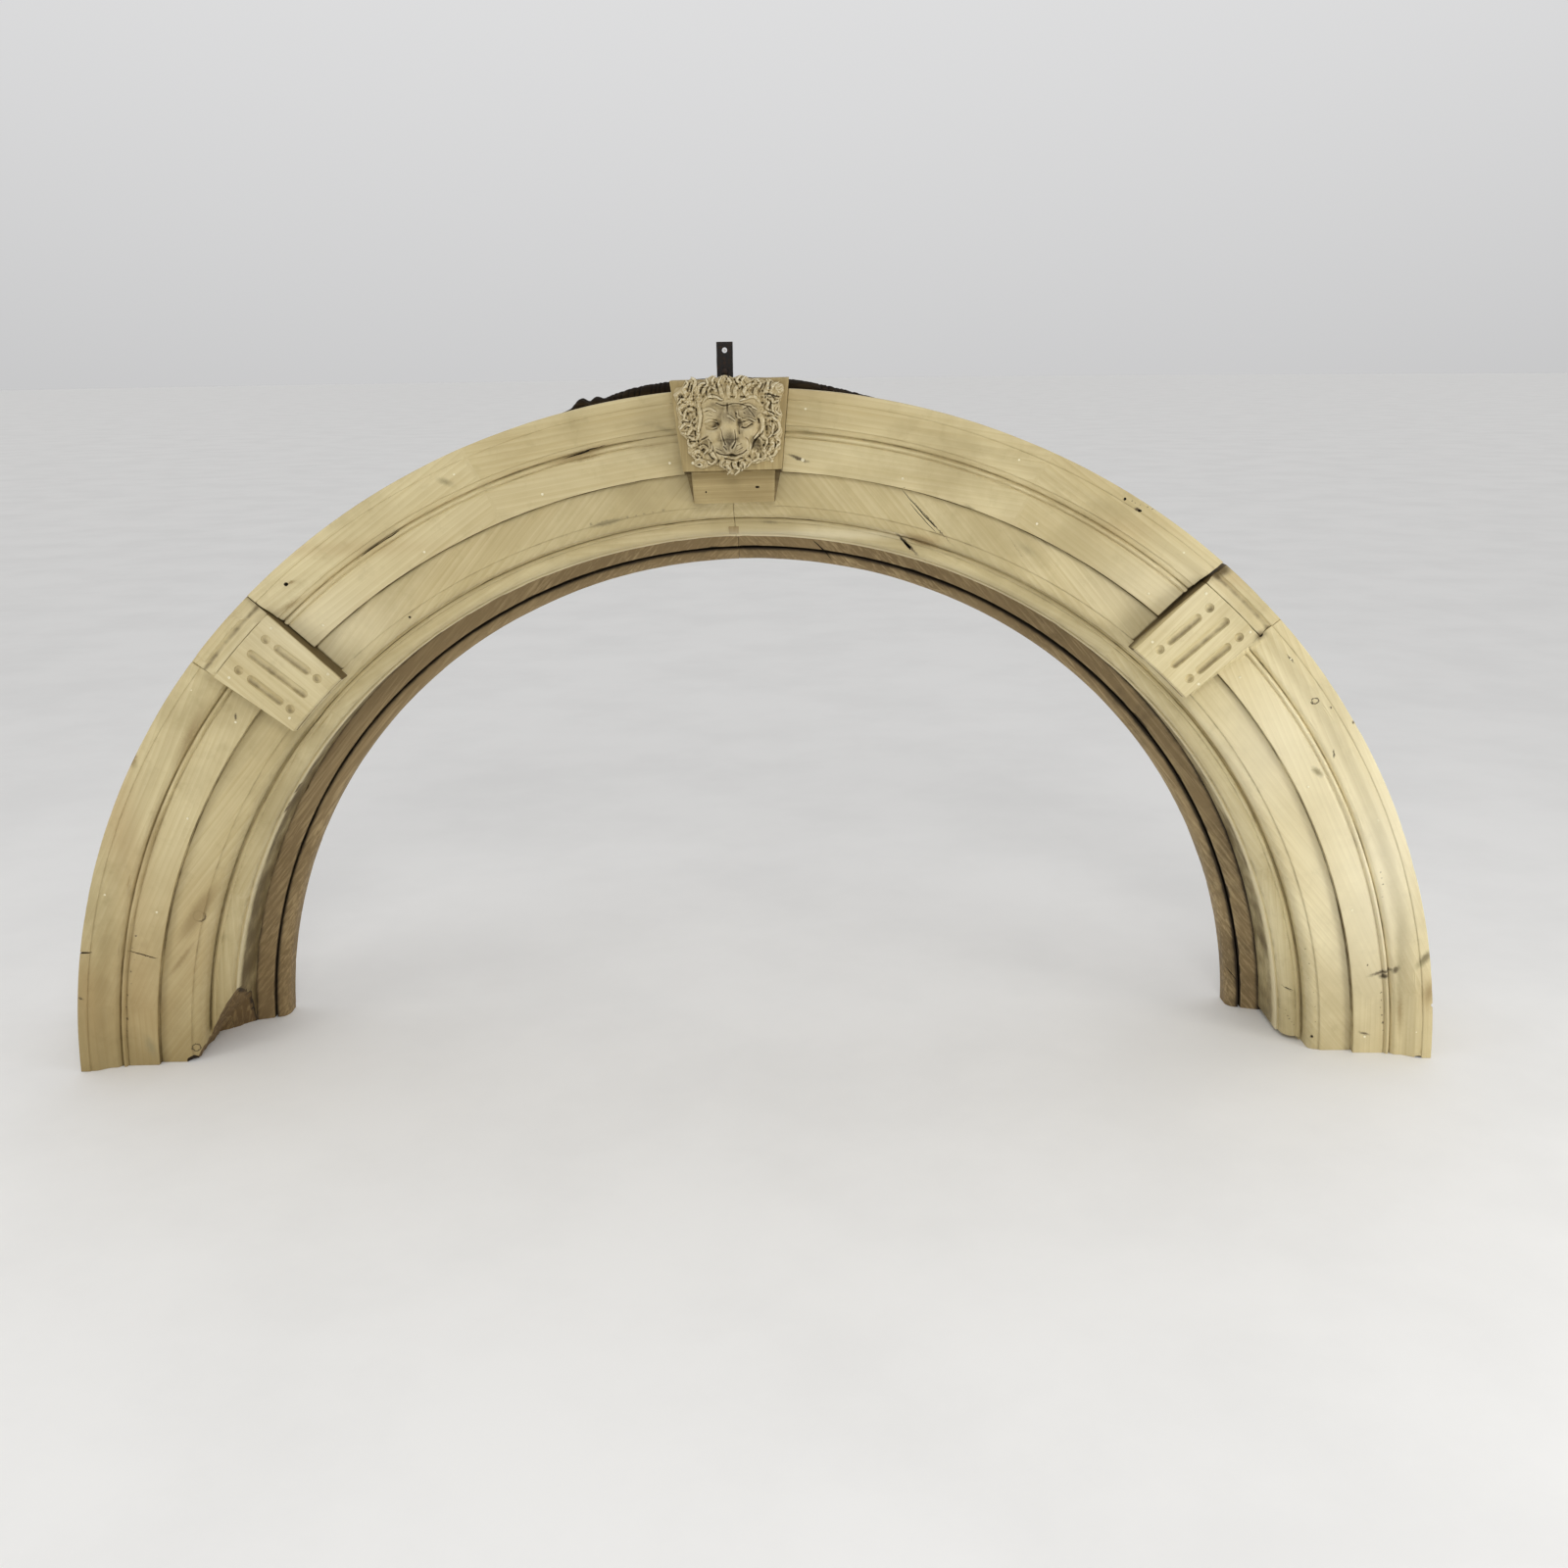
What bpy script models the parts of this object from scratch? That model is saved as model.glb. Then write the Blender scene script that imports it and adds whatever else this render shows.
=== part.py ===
"""Carved wooden arch: a half-round moulded pine archivolt with a lion-mask keystone and two fluted blocks.

Units are metres, +Z is up, the carved face looks along -Y and the two feet stand on Z = 0.
A ring is drawn by its section: pairs of (radius from the centre of the arch, depth behind the face).
"""

import math

import bmesh
import bpy
from mathutils import Vector

# Driving sizes
OUTER_RADIUS = 1.100
CENTRE_BELOW_FEET = 0.031
FACE_Y = -0.1012
ARCH_DEPTH = 0.257
JOINT_GAP = 0.0003
STEP_ANGLE = math.radians(4.0)

# Directions round the arch, in degrees from the right foot
AXIS = 91.2
KEY_DIRECTION = 91.05
BLOCK_AWAY = 44.75
OPEN_JOINT = 0.32
NARROW_JOINT = 0.09
TIGHT_JOINT = 0.04

# Crown moulding with the first fascia
FILLET_RADIUS = 1.085
OGEE_RADIUS = 1.048
QUIRK_RADIUS = 1.0385
BEAD_RADIUS = 1.0300
FASCIA_RADIUS = 0.9805
QUIRK_DEPTH = 0.0215
FASCIA_DEPTH = 0.0226

# Body with the second fascia and the ovolo
BODY_OUTER_RADIUS = 1.078
BODY_DEPTH = 0.0330
OVOLO_OUTER_RADIUS = 0.9290
OVOLO_INNER_RADIUS = 0.9120
OVOLO_DEPTH = 0.0480
GROOVE_FLOOR_DEPTH = 0.0750
BORE_RADIUS = 0.9078

# Inner moulding: fillet, torus, soffit
INNER_FILLET_RADIUS = 0.9018
INNER_FILLET_DEPTH = 0.0665
TORUS_CENTRE_RADIUS = 0.9025
TORUS_CENTRE_DEPTH = 0.0920
TORUS_SIZE = 0.0215
SOFFIT_RADIUS = 0.8764
SOFFIT_FRONT_DEPTH = 0.0980
SOFFIT_BACK_DEPTH = 0.1970
RIGHT_MOULDING_LIFT = 0.008

# Patch in the torus: directions round the torus section and along the arch, in degrees
PATCH_FROM = 112.0
PATCH_TO = 164.0
PATCH_ASIDE = 0.15
PATCH_HALF = 0.50
PATCH_THICKNESS = 0.006
POCKET_REACH = 0.012

# Back ring: band, groove, roll
BAND_RADIUS = 0.8484
BAND_DEPTH = 0.2060
BACK_GROOVE_RADIUS = 0.8435
BACK_GROOVE_DEPTH = 0.2220
ROLL_RADIUS = 0.8253

# Fluted blocks
PLATE_OUTER_RADIUS = 1.0605
PLATE_INNER_RADIUS = 0.9165
PLATE_FRONT_DEPTH = -0.0030
PLATE_CHAMFER = 0.0012
CAP_FILLET_RADIUS = 1.0845
CAP_COVE_RADIUS = 1.0775
CAP_COVE_DEPTH = 0.0060
CAP_FOOT_DEPTH = -0.0010
FLUTE_RADIUS = 0.0070
FLUTE_SPACING = 0.0325
LONG_FLUTE = (0.9435, 1.0385)
SHORT_FLUTE = (0.9630, 1.0140)
DIMPLE_PLACES = (0.9430, 1.0370)
DIMPLE_RADIUS = 0.0075
FLUTE_CENTRE_LIFT = 0.0010
DIMPLE_CENTRE_LIFT = 0.0022

# Each block sits a little askew: its direction, its two sides as degrees from there at the plate's inner
# and outer radius, and the flutes' middle line as its offset at the plate's middle and its slope
BLOCKS = {
    "right": (AXIS - BLOCK_AWAY, (-2.63, -2.98), (4.30, 3.40), 0.0038, -0.090),
    "left": (AXIS + BLOCK_AWAY, (-3.65, -3.17), (3.39, 3.87), 0.0010, 0.068),
}

# Keystone
KEY_TOP_RADIUS = 1.1130
KEY_FOOT_RADIUS = 0.9850
KEY_TOP_HALF = 0.0854
KEY_FOOT_HALF = 0.0718
KEY_FRONT_DEPTH = -0.0200
KEY_CHAMFER = 0.0015
LOWER_TOP_HALF = 0.0617
LOWER_FOOT_HALF = 0.0590
LOWER_FOOT_RADIUS = 0.9360
LOWER_FRONT_DEPTH = 0.0080
BASE_TOP_HALF = 0.0710
BASE_FRONT_DEPTH = 0.0240

# Lion mask
MASK_RADIUS = 1.0500
MASK_HALF_WIDTH = 0.0760
MASK_HALF_HEIGHT = 0.0715
MASK_SPOKES = 66
MASK_RINGS = 16
MANE_LOCKS = 22

# Carved crest behind the crown
CREST_TOP_RADIUS = 1.1155
CREST_FRONT_DEPTH = 0.0450
CREST_BACK_DEPTH = 0.1150
CREST_END_HEIGHT = 0.0100
CREST_RIGHT_END = 79.8
CREST_LEFT_END = 104.6
CREST_LEAVES = 16
CREST_LEAN = math.radians(0.35)

# Iron strap
STRAP_X = -0.036
STRAP_WIDTH = 0.026
STRAP_THICKNESS = 0.005
STRAP_TOP_Z = 1.1345
STRAP_LENGTH = 0.190
STRAP_HOLES = (0.013, 0.046, 0.120, 0.170)
STRAP_HOLE_RADIUS = 0.0042

COLOURS = {
    "pine": ((0.74, 0.62, 0.40, 1.0), 0.62, 0.0),
    "brown_wood": ((0.23, 0.15, 0.08, 1.0), 0.78, 0.0),
    "dark_carving": ((0.13, 0.08, 0.045, 1.0), 0.70, 0.0),
    "iron": ((0.035, 0.035, 0.038, 1.0), 0.55, 0.85),
}


def clear_scene():
    for item in list(bpy.data.objects):
        bpy.data.objects.remove(item, do_unlink=True)


def material(name):
    found = bpy.data.materials.get(name)
    if found:
        return found
    colour, roughness, metallic = COLOURS[name]
    made = bpy.data.materials.new(name)
    made.use_nodes = True
    shader = made.node_tree.nodes["Principled BSDF"]
    shader.inputs["Base Color"].default_value = colour
    shader.inputs["Roughness"].default_value = roughness
    shader.inputs["Metallic"].default_value = metallic
    return made


def add_object(name, mesh_data, material_name, smooth_angle=30.0):
    """A finished object from a bmesh, with its faces turned outwards."""
    bmesh.ops.recalc_face_normals(mesh_data, faces=mesh_data.faces)
    mesh = bpy.data.meshes.new(name)
    mesh_data.to_mesh(mesh)
    mesh_data.free()
    mesh.shade_smooth()
    mesh.set_sharp_from_angle(angle=math.radians(smooth_angle))
    made = bpy.data.objects.new(name, mesh)
    bpy.context.scene.collection.objects.link(made)
    made.data.materials.append(material(material_name))
    return made


def add_cutter(name, mesh_data):
    cutter = add_object(name, mesh_data, "pine")
    cutter.hide_render = True
    cutter.display_type = "WIRE"
    return cutter


def cut(target, cutter):
    modifier = target.modifiers.new("cut_" + cutter.name, "BOOLEAN")
    modifier.operation = "DIFFERENCE"
    modifier.solver = "EXACT"
    modifier.object = cutter


def ring_point(radius, depth, angle):
    """The point at this radius, depth behind the face, and angle from the right foot."""
    x = radius * math.cos(angle)
    z = radius * math.sin(angle) - CENTRE_BELOW_FEET
    return Vector((x, FACE_Y + depth, z))


def local_point(across, radius, depth, direction):
    """A point in the frame of a block whose middle line leaves the centre in this direction."""
    turn = math.radians(direction)
    outward = Vector((math.cos(turn), 0.0, math.sin(turn)))
    sideways = Vector((math.sin(turn), 0.0, -math.cos(turn)))
    place = outward * radius + sideways * across
    return Vector((place.x, FACE_Y + depth, place.z - CENTRE_BELOW_FEET))


def radial_end(direction):
    """An end cut on a line through the centre."""
    return lambda radius: math.radians(direction)


def block_end(direction, side, aside=0.0):
    """An end cut along one side of a block, or a joint's width aside from it."""

    def angle_at(radius):
        share = (radius - PLATE_INNER_RADIUS) / (PLATE_OUTER_RADIUS - PLATE_INNER_RADIUS)
        return math.radians(direction + side[0] + (side[1] - side[0]) * share + aside)

    return angle_at


def foot_end(left, lift=0.0):
    """An end cut level, so that the foot stands flat."""
    height = CENTRE_BELOW_FEET + lift

    def angle_at(radius):
        angle = math.asin(height / radius)
        return math.pi - angle if left else angle

    return angle_at


def key_half_width(radius):
    share = (radius - KEY_FOOT_RADIUS) / (KEY_TOP_RADIUS - KEY_FOOT_RADIUS)
    return KEY_FOOT_HALF + (KEY_TOP_HALF - KEY_FOOT_HALF) * share


def keystone_end(left):
    """An end cut that follows the tapered side of the keystone."""
    side = 1.0 if left else -1.0

    def angle_at(radius):
        half = key_half_width(radius) + JOINT_GAP
        return math.radians(KEY_DIRECTION) + side * math.asin(half / radius)

    return angle_at


def ring(name, section, start, end, material_name):
    """A closed section swept round the arch between two end cuts."""
    sweep = bmesh.new()
    middle = sum(radius for radius, depth in section) / len(section)
    count = max(1, round(abs(end(middle) - start(middle)) / STEP_ANGLE))
    stations = []
    for step in range(count + 1):
        share = step / count
        loop = []
        for radius, depth in section:
            angle = start(radius) * (1.0 - share) + end(radius) * share
            loop.append(sweep.verts.new(ring_point(radius, depth, angle)))
        stations.append(loop)
    size = len(section)
    for first, second in zip(stations, stations[1:]):
        for i in range(size):
            j = (i + 1) % size
            sweep.faces.new((first[i], first[j], second[j], second[i]))
    sweep.faces.new(stations[0])
    sweep.faces.new(stations[-1])
    return add_object(name, sweep, material_name)


def arc(centre, size, start, end, count):
    """Points on an ellipse in the section plane; size is (along the radius, along the depth)."""
    points = []
    for i in range(count + 1):
        turn = math.radians(start + (end - start) * i / count)
        radius = centre[0] + size[0] * math.cos(turn)
        depth = centre[1] - size[1] * math.sin(turn)
        points.append((radius, depth))
    return points


def ogee(outer, inner, count):
    """A round that turns into a hollow, from the outer to the inner point."""
    points = []
    for i in range(count + 1):
        share = i / count
        radius = outer[0] + (inner[0] - outer[0]) * share
        ease = share - math.sin(2.0 * math.pi * share) / (2.0 * math.pi)
        points.append((radius, outer[1] + (inner[1] - outer[1]) * ease))
    return points


def crown_section():
    back = BODY_DEPTH - JOINT_GAP
    bead_size = (QUIRK_RADIUS - BEAD_RADIUS) / 2.0
    bead_centre = ((QUIRK_RADIUS + BEAD_RADIUS) / 2.0, QUIRK_DEPTH - 0.001)
    section = [(OUTER_RADIUS, 0.0), (FILLET_RADIUS, 0.001), (FILLET_RADIUS - 0.0015, 0.003)]
    section += ogee((FILLET_RADIUS - 0.004, 0.003), (OGEE_RADIUS, 0.0145), 5)
    section += [(OGEE_RADIUS - 0.0005, QUIRK_DEPTH)]
    section += [(QUIRK_RADIUS + 0.0005, QUIRK_DEPTH)]
    section += arc(bead_centre, (bead_size, 0.0048), 0.0, 180.0, 4)
    section += [(BEAD_RADIUS - 0.0005, QUIRK_DEPTH), (FASCIA_RADIUS, FASCIA_DEPTH)]
    section += [(FASCIA_RADIUS, back), (OUTER_RADIUS, back)]
    return section


def body_section():
    back = SOFFIT_BACK_DEPTH
    ovolo_size = (OVOLO_OUTER_RADIUS - OVOLO_INNER_RADIUS, OVOLO_DEPTH - BODY_DEPTH - 0.002)
    ovolo_centre = (OVOLO_OUTER_RADIUS, OVOLO_DEPTH)
    section = [(BODY_OUTER_RADIUS, BODY_DEPTH), (OVOLO_OUTER_RADIUS + 0.0004, BODY_DEPTH)]
    section += arc(ovolo_centre, ovolo_size, 90.0, 180.0, 4)
    section += [(OVOLO_INNER_RADIUS, GROOVE_FLOOR_DEPTH), (BORE_RADIUS, GROOVE_FLOOR_DEPTH)]
    section += [(BORE_RADIUS, back), (BODY_OUTER_RADIUS, back)]
    return section


def torus_arc(start, end, count):
    centre = (TORUS_CENTRE_RADIUS, TORUS_CENTRE_DEPTH)
    return arc(centre, (TORUS_SIZE, TORUS_SIZE), start, end, count)


def inner_section():
    outer = BORE_RADIUS - JOINT_GAP
    section = [(outer, INNER_FILLET_DEPTH), (INNER_FILLET_RADIUS, INNER_FILLET_DEPTH)]
    section += torus_arc(94.0, 180.0, 6)
    section += [(TORUS_CENTRE_RADIUS - TORUS_SIZE, SOFFIT_FRONT_DEPTH - 0.001)]
    section += [(SOFFIT_RADIUS, SOFFIT_FRONT_DEPTH), (SOFFIT_RADIUS, SOFFIT_BACK_DEPTH)]
    section += [(outer, SOFFIT_BACK_DEPTH)]
    return section


def back_section():
    front = SOFFIT_BACK_DEPTH + JOINT_GAP
    roll_width = BACK_GROOVE_RADIUS - ROLL_RADIUS
    roll_centre = (BACK_GROOVE_RADIUS, 0.2290)
    section = [(BODY_OUTER_RADIUS, front), (SOFFIT_RADIUS, front), (BAND_RADIUS, BAND_DEPTH)]
    section += [(BAND_RADIUS - 0.0006, BACK_GROOVE_DEPTH), (BACK_GROOVE_RADIUS, BACK_GROOVE_DEPTH)]
    section += arc(roll_centre, (roll_width, 0.0200), 90.0, 180.0, 5)
    section += [(ROLL_RADIUS, ARCH_DEPTH - 0.004), (ROLL_RADIUS + 0.003, ARCH_DEPTH)]
    section += [(BODY_OUTER_RADIUS, ARCH_DEPTH)]
    return section


def build_crown():
    """Four lengths of crown moulding, stopped by the blocks and the keystone."""
    section = crown_section()
    right, right_under, right_over = BLOCKS["right"][:3]
    left, left_over, left_under = BLOCKS["left"][:3]
    ring("crown_lower_right", section, foot_end(False),
         block_end(right, right_under, -TIGHT_JOINT), "pine")
    ring("crown_upper_right", section, block_end(right, right_over, OPEN_JOINT),
         keystone_end(False), "pine")
    ring("crown_upper_left", section, keystone_end(True),
         block_end(left, left_over, -NARROW_JOINT), "pine")
    ring("crown_lower_left", section, block_end(left, left_under, TIGHT_JOINT),
         foot_end(True), "pine")


def halves(name, section, material_name, right_lift=0.0, gap=0.0002):
    """The right and left half of a ring, which meet on the middle line of the keystone."""
    gap_angle = math.degrees(gap / 0.9)
    right = ring(name + "_right", section, foot_end(False, right_lift),
                 radial_end(AXIS - gap_angle), material_name)
    left = ring(name + "_left", section, radial_end(AXIS + gap_angle), foot_end(True), material_name)
    return left, right


def hull_cutter(name, points):
    shape = bmesh.new()
    for point in points:
        shape.verts.new(point)
    made = bmesh.ops.convex_hull(shape, input=shape.verts)
    loose = [v for v in made["geom_interior"] + made["geom_unused"] if isinstance(v, bmesh.types.BMVert)]
    bmesh.ops.delete(shape, geom=list(set(loose)), context="VERTS")
    return add_cutter(name, shape)


def broken_foot_cutter():
    """The lump that has split off the inner side of the left foot; its corners are (x, depth, z)."""
    front = 0.020
    back = SOFFIT_BACK_DEPTH - 0.0005
    under = -0.010
    clear_x = -0.820
    edge = [(-0.925, front, 0.000), (-0.926, 0.150, 0.000), (-0.874, back, 0.004)]
    crest = [(-0.868, 0.092, 0.105), (-0.868, 0.172, 0.070)]
    below = [(x, depth, under) for x, depth, z in edge]
    inside = [(clear_x, front, 0.120), (clear_x, 0.190, 0.080)]
    inside += [(clear_x, front, under), (clear_x, back, under)]
    points = [Vector((x, FACE_Y + depth, z)) for x, depth, z in edge + crest + below + inside]
    return hull_cutter("broken_foot", points)


def patch_section(clearance):
    """The patch let into the torus: a curved face and a flat floor. With a clearance it is the pocket."""
    slack = math.degrees(clearance / TORUS_SIZE)
    first = PATCH_FROM - slack
    last = PATCH_TO + slack
    ends = [torus_arc(angle, angle, 1)[0] for angle in (last, first)]
    if clearance:
        face = [(radius - POCKET_REACH, depth - POCKET_REACH) for radius, depth in reversed(ends)]
    else:
        face = torus_arc(first, last, 4)
    sink = (PATCH_THICKNESS + clearance) * math.sqrt(0.5)
    return face + [(radius + sink, depth + sink) for radius, depth in ends]


def build_patch(mouldings):
    """A patch over the joint of the two inner mouldings, and the pocket that it lies in."""
    middle = AXIS + PATCH_ASIDE
    half = PATCH_HALF
    ring("joint_patch", patch_section(0.0), radial_end(middle - half), radial_end(middle + half), "pine")
    slack = half + math.degrees(JOINT_GAP / TORUS_CENTRE_RADIUS)
    pocket = ring("patch_pocket", patch_section(JOINT_GAP), radial_end(middle - slack),
                  radial_end(middle + slack), "pine")
    pocket.hide_render = True
    pocket.display_type = "WIRE"
    for moulding in mouldings:
        cut(moulding, pocket)


def build_rings():
    body_left, body_right = halves("fascia_ring", body_section(), "pine")
    inner_left, inner_right = halves(
        "inner_moulding", inner_section(), "pine", RIGHT_MOULDING_LIFT, 0.0005
    )
    halves("back_ring", back_section(), "brown_wood", 0.0, 0.0004)
    lump = broken_foot_cutter()
    cut(body_left, lump)
    cut(inner_left, lump)
    build_patch((inner_left, inner_right))


def sphere_points(centre, radius):
    """The corners of a twelve-sided ball."""
    points = [centre + Vector((0.0, -radius, 0.0)), centre + Vector((0.0, radius, 0.0))]
    for ring_angle in (-60, -30, 0, 30, 60):
        lift = radius * math.sin(math.radians(ring_angle))
        size = radius * math.cos(math.radians(ring_angle))
        for side in range(12):
            turn = math.radians(30 * side)
            points.append(centre + Vector((size * math.cos(turn), lift, size * math.sin(turn))))
    return points


def plate_section():
    back = BODY_DEPTH - JOINT_GAP
    front = PLATE_FRONT_DEPTH
    return [
        (PLATE_OUTER_RADIUS, back),
        (PLATE_OUTER_RADIUS, front + PLATE_CHAMFER),
        (PLATE_OUTER_RADIUS - PLATE_CHAMFER, front),
        (PLATE_INNER_RADIUS + PLATE_CHAMFER, front),
        (PLATE_INNER_RADIUS, front + PLATE_CHAMFER),
        (PLATE_INNER_RADIUS, back),
    ]


def fluted_plate(name, block):
    """A tapered plate with three stopped flutes, and a dimple at both ends of the outer two."""
    direction, first_side, last_side, offset, slope = block
    plate = ring(name, plate_section(), block_end(direction, first_side),
                 block_end(direction, last_side), "pine")
    middle = (PLATE_INNER_RADIUS + PLATE_OUTER_RADIUS) / 2.0

    def lane_point(column, radius, lift):
        across = column * FLUTE_SPACING - offset - slope * (radius - middle)
        return local_point(across, radius, PLATE_FRONT_DEPTH - lift, direction)

    for column in (-1, 0, 1):
        reach = LONG_FLUTE if column == 0 else SHORT_FLUTE
        points = []
        for radius in reach:
            points += sphere_points(lane_point(column, radius, FLUTE_CENTRE_LIFT), FLUTE_RADIUS)
        cut(plate, hull_cutter(f"{name}_flute_{column + 1}", points))
        if column == 0:
            continue
        for number, radius in enumerate(DIMPLE_PLACES):
            points = sphere_points(lane_point(column, radius, DIMPLE_CENTRE_LIFT), DIMPLE_RADIUS)
            cut(plate, hull_cutter(f"{name}_dimple_{column + 1}_{number}", points))
    return plate


def cap_section():
    """A fillet level with the crown's, a cove, and a round that rises to the plate."""
    back = BODY_DEPTH - JOINT_GAP
    foot = PLATE_OUTER_RADIUS + JOINT_GAP
    cove = CAP_COVE_RADIUS
    section = [(OUTER_RADIUS, 0.0), (CAP_FILLET_RADIUS, 0.0006)]
    section += [(CAP_FILLET_RADIUS - 0.0015, CAP_COVE_DEPTH - 0.0020), (cove, CAP_COVE_DEPTH)]
    section += ogee((cove - 0.0020, CAP_COVE_DEPTH), (foot + 0.0010, CAP_FOOT_DEPTH), 5)
    section += [(foot, CAP_FOOT_DEPTH + 0.0010), (foot, back), (OUTER_RADIUS, back)]
    return section


def build_blocks():
    for side, block in BLOCKS.items():
        direction, first_side, last_side = block[:3]
        fluted_plate("fluted_plate_" + side, block)
        ring("block_cap_" + side, cap_section(), block_end(direction, first_side),
             block_end(direction, last_side), "pine")


def prism(name, outlines, material_name):
    """A solid through outlines of (across, radius, depth) on the keystone's own axis."""
    shape = bmesh.new()
    loops = []
    for outline in outlines:
        loops.append([shape.verts.new(local_point(*point, KEY_DIRECTION)) for point in outline])
    size = len(loops[0])
    for first, second in zip(loops, loops[1:]):
        for i in range(size):
            j = (i + 1) % size
            shape.faces.new((first[i], first[j], second[j], second[i]))
    shape.faces.new(loops[0])
    shape.faces.new(loops[-1])
    return add_object(name, shape, material_name)


def tapered_outline(top_half, foot_half, top_radius, foot_radius, depth, inset=0.0):
    return [
        (-foot_half + inset, foot_radius + inset, depth),
        (foot_half - inset, foot_radius + inset, depth),
        (top_half - inset, top_radius - inset, depth),
        (-top_half + inset, top_radius - inset, depth),
    ]


def build_keystone():
    back = BODY_DEPTH - JOINT_GAP
    chamfer = KEY_CHAMFER
    plate = (KEY_TOP_HALF, KEY_FOOT_HALF, KEY_TOP_RADIUS, KEY_FOOT_RADIUS)
    prism("keystone_plate", [
        tapered_outline(*plate, KEY_FRONT_DEPTH, chamfer),
        tapered_outline(*plate, KEY_FRONT_DEPTH + chamfer),
        tapered_outline(*plate, back),
    ], "pine")
    top = KEY_FOOT_RADIUS - JOINT_GAP
    block = (LOWER_TOP_HALF, LOWER_FOOT_HALF, top, LOWER_FOOT_RADIUS)
    base = (BASE_TOP_HALF, LOWER_FOOT_HALF + 0.001, top, LOWER_FOOT_RADIUS - 0.001)
    prism("keystone_lower_block", [
        tapered_outline(*block, LOWER_FRONT_DEPTH, chamfer),
        tapered_outline(*block, LOWER_FRONT_DEPTH + chamfer),
        tapered_outline(*block, BASE_FRONT_DEPTH),
        tapered_outline(*base, BASE_FRONT_DEPTH + 0.0002),
        tapered_outline(*base, back),
    ], "pine")


def bump(across, up, centre, size, turn=0.0):
    """A round hill of height one, zero outside its ellipse."""
    tilt = math.radians(turn)
    x = across - centre[0]
    y = up - centre[1]
    along = (x * math.cos(tilt) + y * math.sin(tilt)) / size[0]
    over = (y * math.cos(tilt) - x * math.sin(tilt)) / size[1]
    reach = along * along + over * over
    return (1.0 - reach) ** 2 if reach < 1.0 else 0.0


# Hills and hollows of the lion's face, in millimetres: centre, half sizes, height, tilt.
# A row whose centre is off the middle line is repeated on the other side.
FACE_FORMS = (
    ((0.0, -2.0), (58.0, 66.0), 19.0, 0.0),
    ((0.0, 43.0), (36.0, 9.0), 7.0, 0.0),
    ((17.0, 24.0), (20.0, 12.0), 12.0, 12.0),
    ((0.0, 22.0), (6.0, 16.0), -4.0, 0.0),
    ((22.0, 7.0), (14.0, 9.0), -9.0, -14.0),
    ((22.0, 6.0), (7.0, 6.0), 7.0, 0.0),
    ((37.0, -6.0), (17.0, 20.0), 8.0, 10.0),
    ((0.0, 6.0), (13.0, 34.0), 12.0, 0.0),
    ((0.0, -22.0), (20.0, 14.0), 15.0, 0.0),
    ((14.0, -34.0), (20.0, 17.0), 13.0, 14.0),
    ((0.0, -43.0), (30.0, 4.5), -8.0, 0.0),
    ((0.0, -52.0), (20.0, 12.0), 12.0, 0.0),
    ((58.0, 47.0), (13.0, 14.0), 13.0, 0.0),
    ((58.0, 47.0), (6.0, 7.0), -12.0, 0.0),
)


def mask_reach(turn):
    """How far the mask reaches from its middle in this direction, with a notch between locks."""
    corner = 1.0 + 0.10 * math.cos(4.0 * turn + math.pi)
    lock = 1.0 + 0.035 * math.cos(MANE_LOCKS * turn)
    return corner * lock


def mane_height(turn, share):
    """Locks that curl round the face, in two rows."""
    if share < 0.56:
        return 0.0
    row = 1.0 if share > 0.80 else 0.0
    swirl = MANE_LOCKS * turn + row * math.pi + 7.0 * share
    rise = math.sin(math.pi * min(1.0, (share - 0.56) / 0.44))
    return (11.0 + 5.0 * math.cos(swirl)) * rise ** 0.6


def mask_height(turn, share):
    reach = mask_reach(turn) * share
    across = MASK_HALF_WIDTH * 1000.0 * reach * math.cos(turn)
    up = MASK_HALF_HEIGHT * 1000.0 * reach * math.sin(turn)
    height = 7.0 * (1.0 - share ** 6)
    for centre, size, rise, tilt in FACE_FORMS:
        height += rise * bump(across, up, centre, size, tilt)
        if centre[0]:
            height += rise * bump(across, up, (-centre[0], centre[1]), size, -tilt)
    return max(1.5, height + mane_height(turn, share)) / 1000.0


def build_mask():
    """The lion's head: a relief on rings round its middle, with a flat back on the plate."""
    shape = bmesh.new()
    back = KEY_FRONT_DEPTH - JOINT_GAP

    def place(turn, share, rise):
        reach = mask_reach(turn) * share
        across = MASK_HALF_WIDTH * reach * math.cos(turn)
        up = MASK_RADIUS + MASK_HALF_HEIGHT * reach * math.sin(turn)
        return shape.verts.new(local_point(across, up, back - rise, KEY_DIRECTION))

    turns = [2.0 * math.pi * i / MASK_SPOKES for i in range(MASK_SPOKES)]
    middle = place(0.0, 0.0, mask_height(0.0, 0.0))
    loops = []
    for ring_number in range(1, MASK_RINGS + 1):
        share = ring_number / MASK_RINGS
        loops.append([place(turn, share, mask_height(turn, share)) for turn in turns])
    loops.append([place(turn, 0.985, 0.0) for turn in turns])
    for i in range(MASK_SPOKES):
        j = (i + 1) % MASK_SPOKES
        shape.faces.new((middle, loops[0][i], loops[0][j]))
        for first, second in zip(loops, loops[1:]):
            shape.faces.new((first[i], second[i], second[j], first[j]))
    shape.faces.new(loops[-1])
    return add_object("lion_mask", shape, "pine", 50.0)


def crest_profile(share):
    """Height of the crest over the body at this share of its length, and how far its leaves stand out."""
    end = min(share, 1.0 - share)
    rise = min(1.0, end / 0.22) ** 0.55
    bud = bump(share, 0.0, (0.05, 0.0), (0.06, 1.0)) + bump(share, 0.0, (0.95, 0.0), (0.05, 1.0))
    leaf = math.sin(math.pi * CREST_LEAVES * share)
    return rise, bud, leaf


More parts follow.
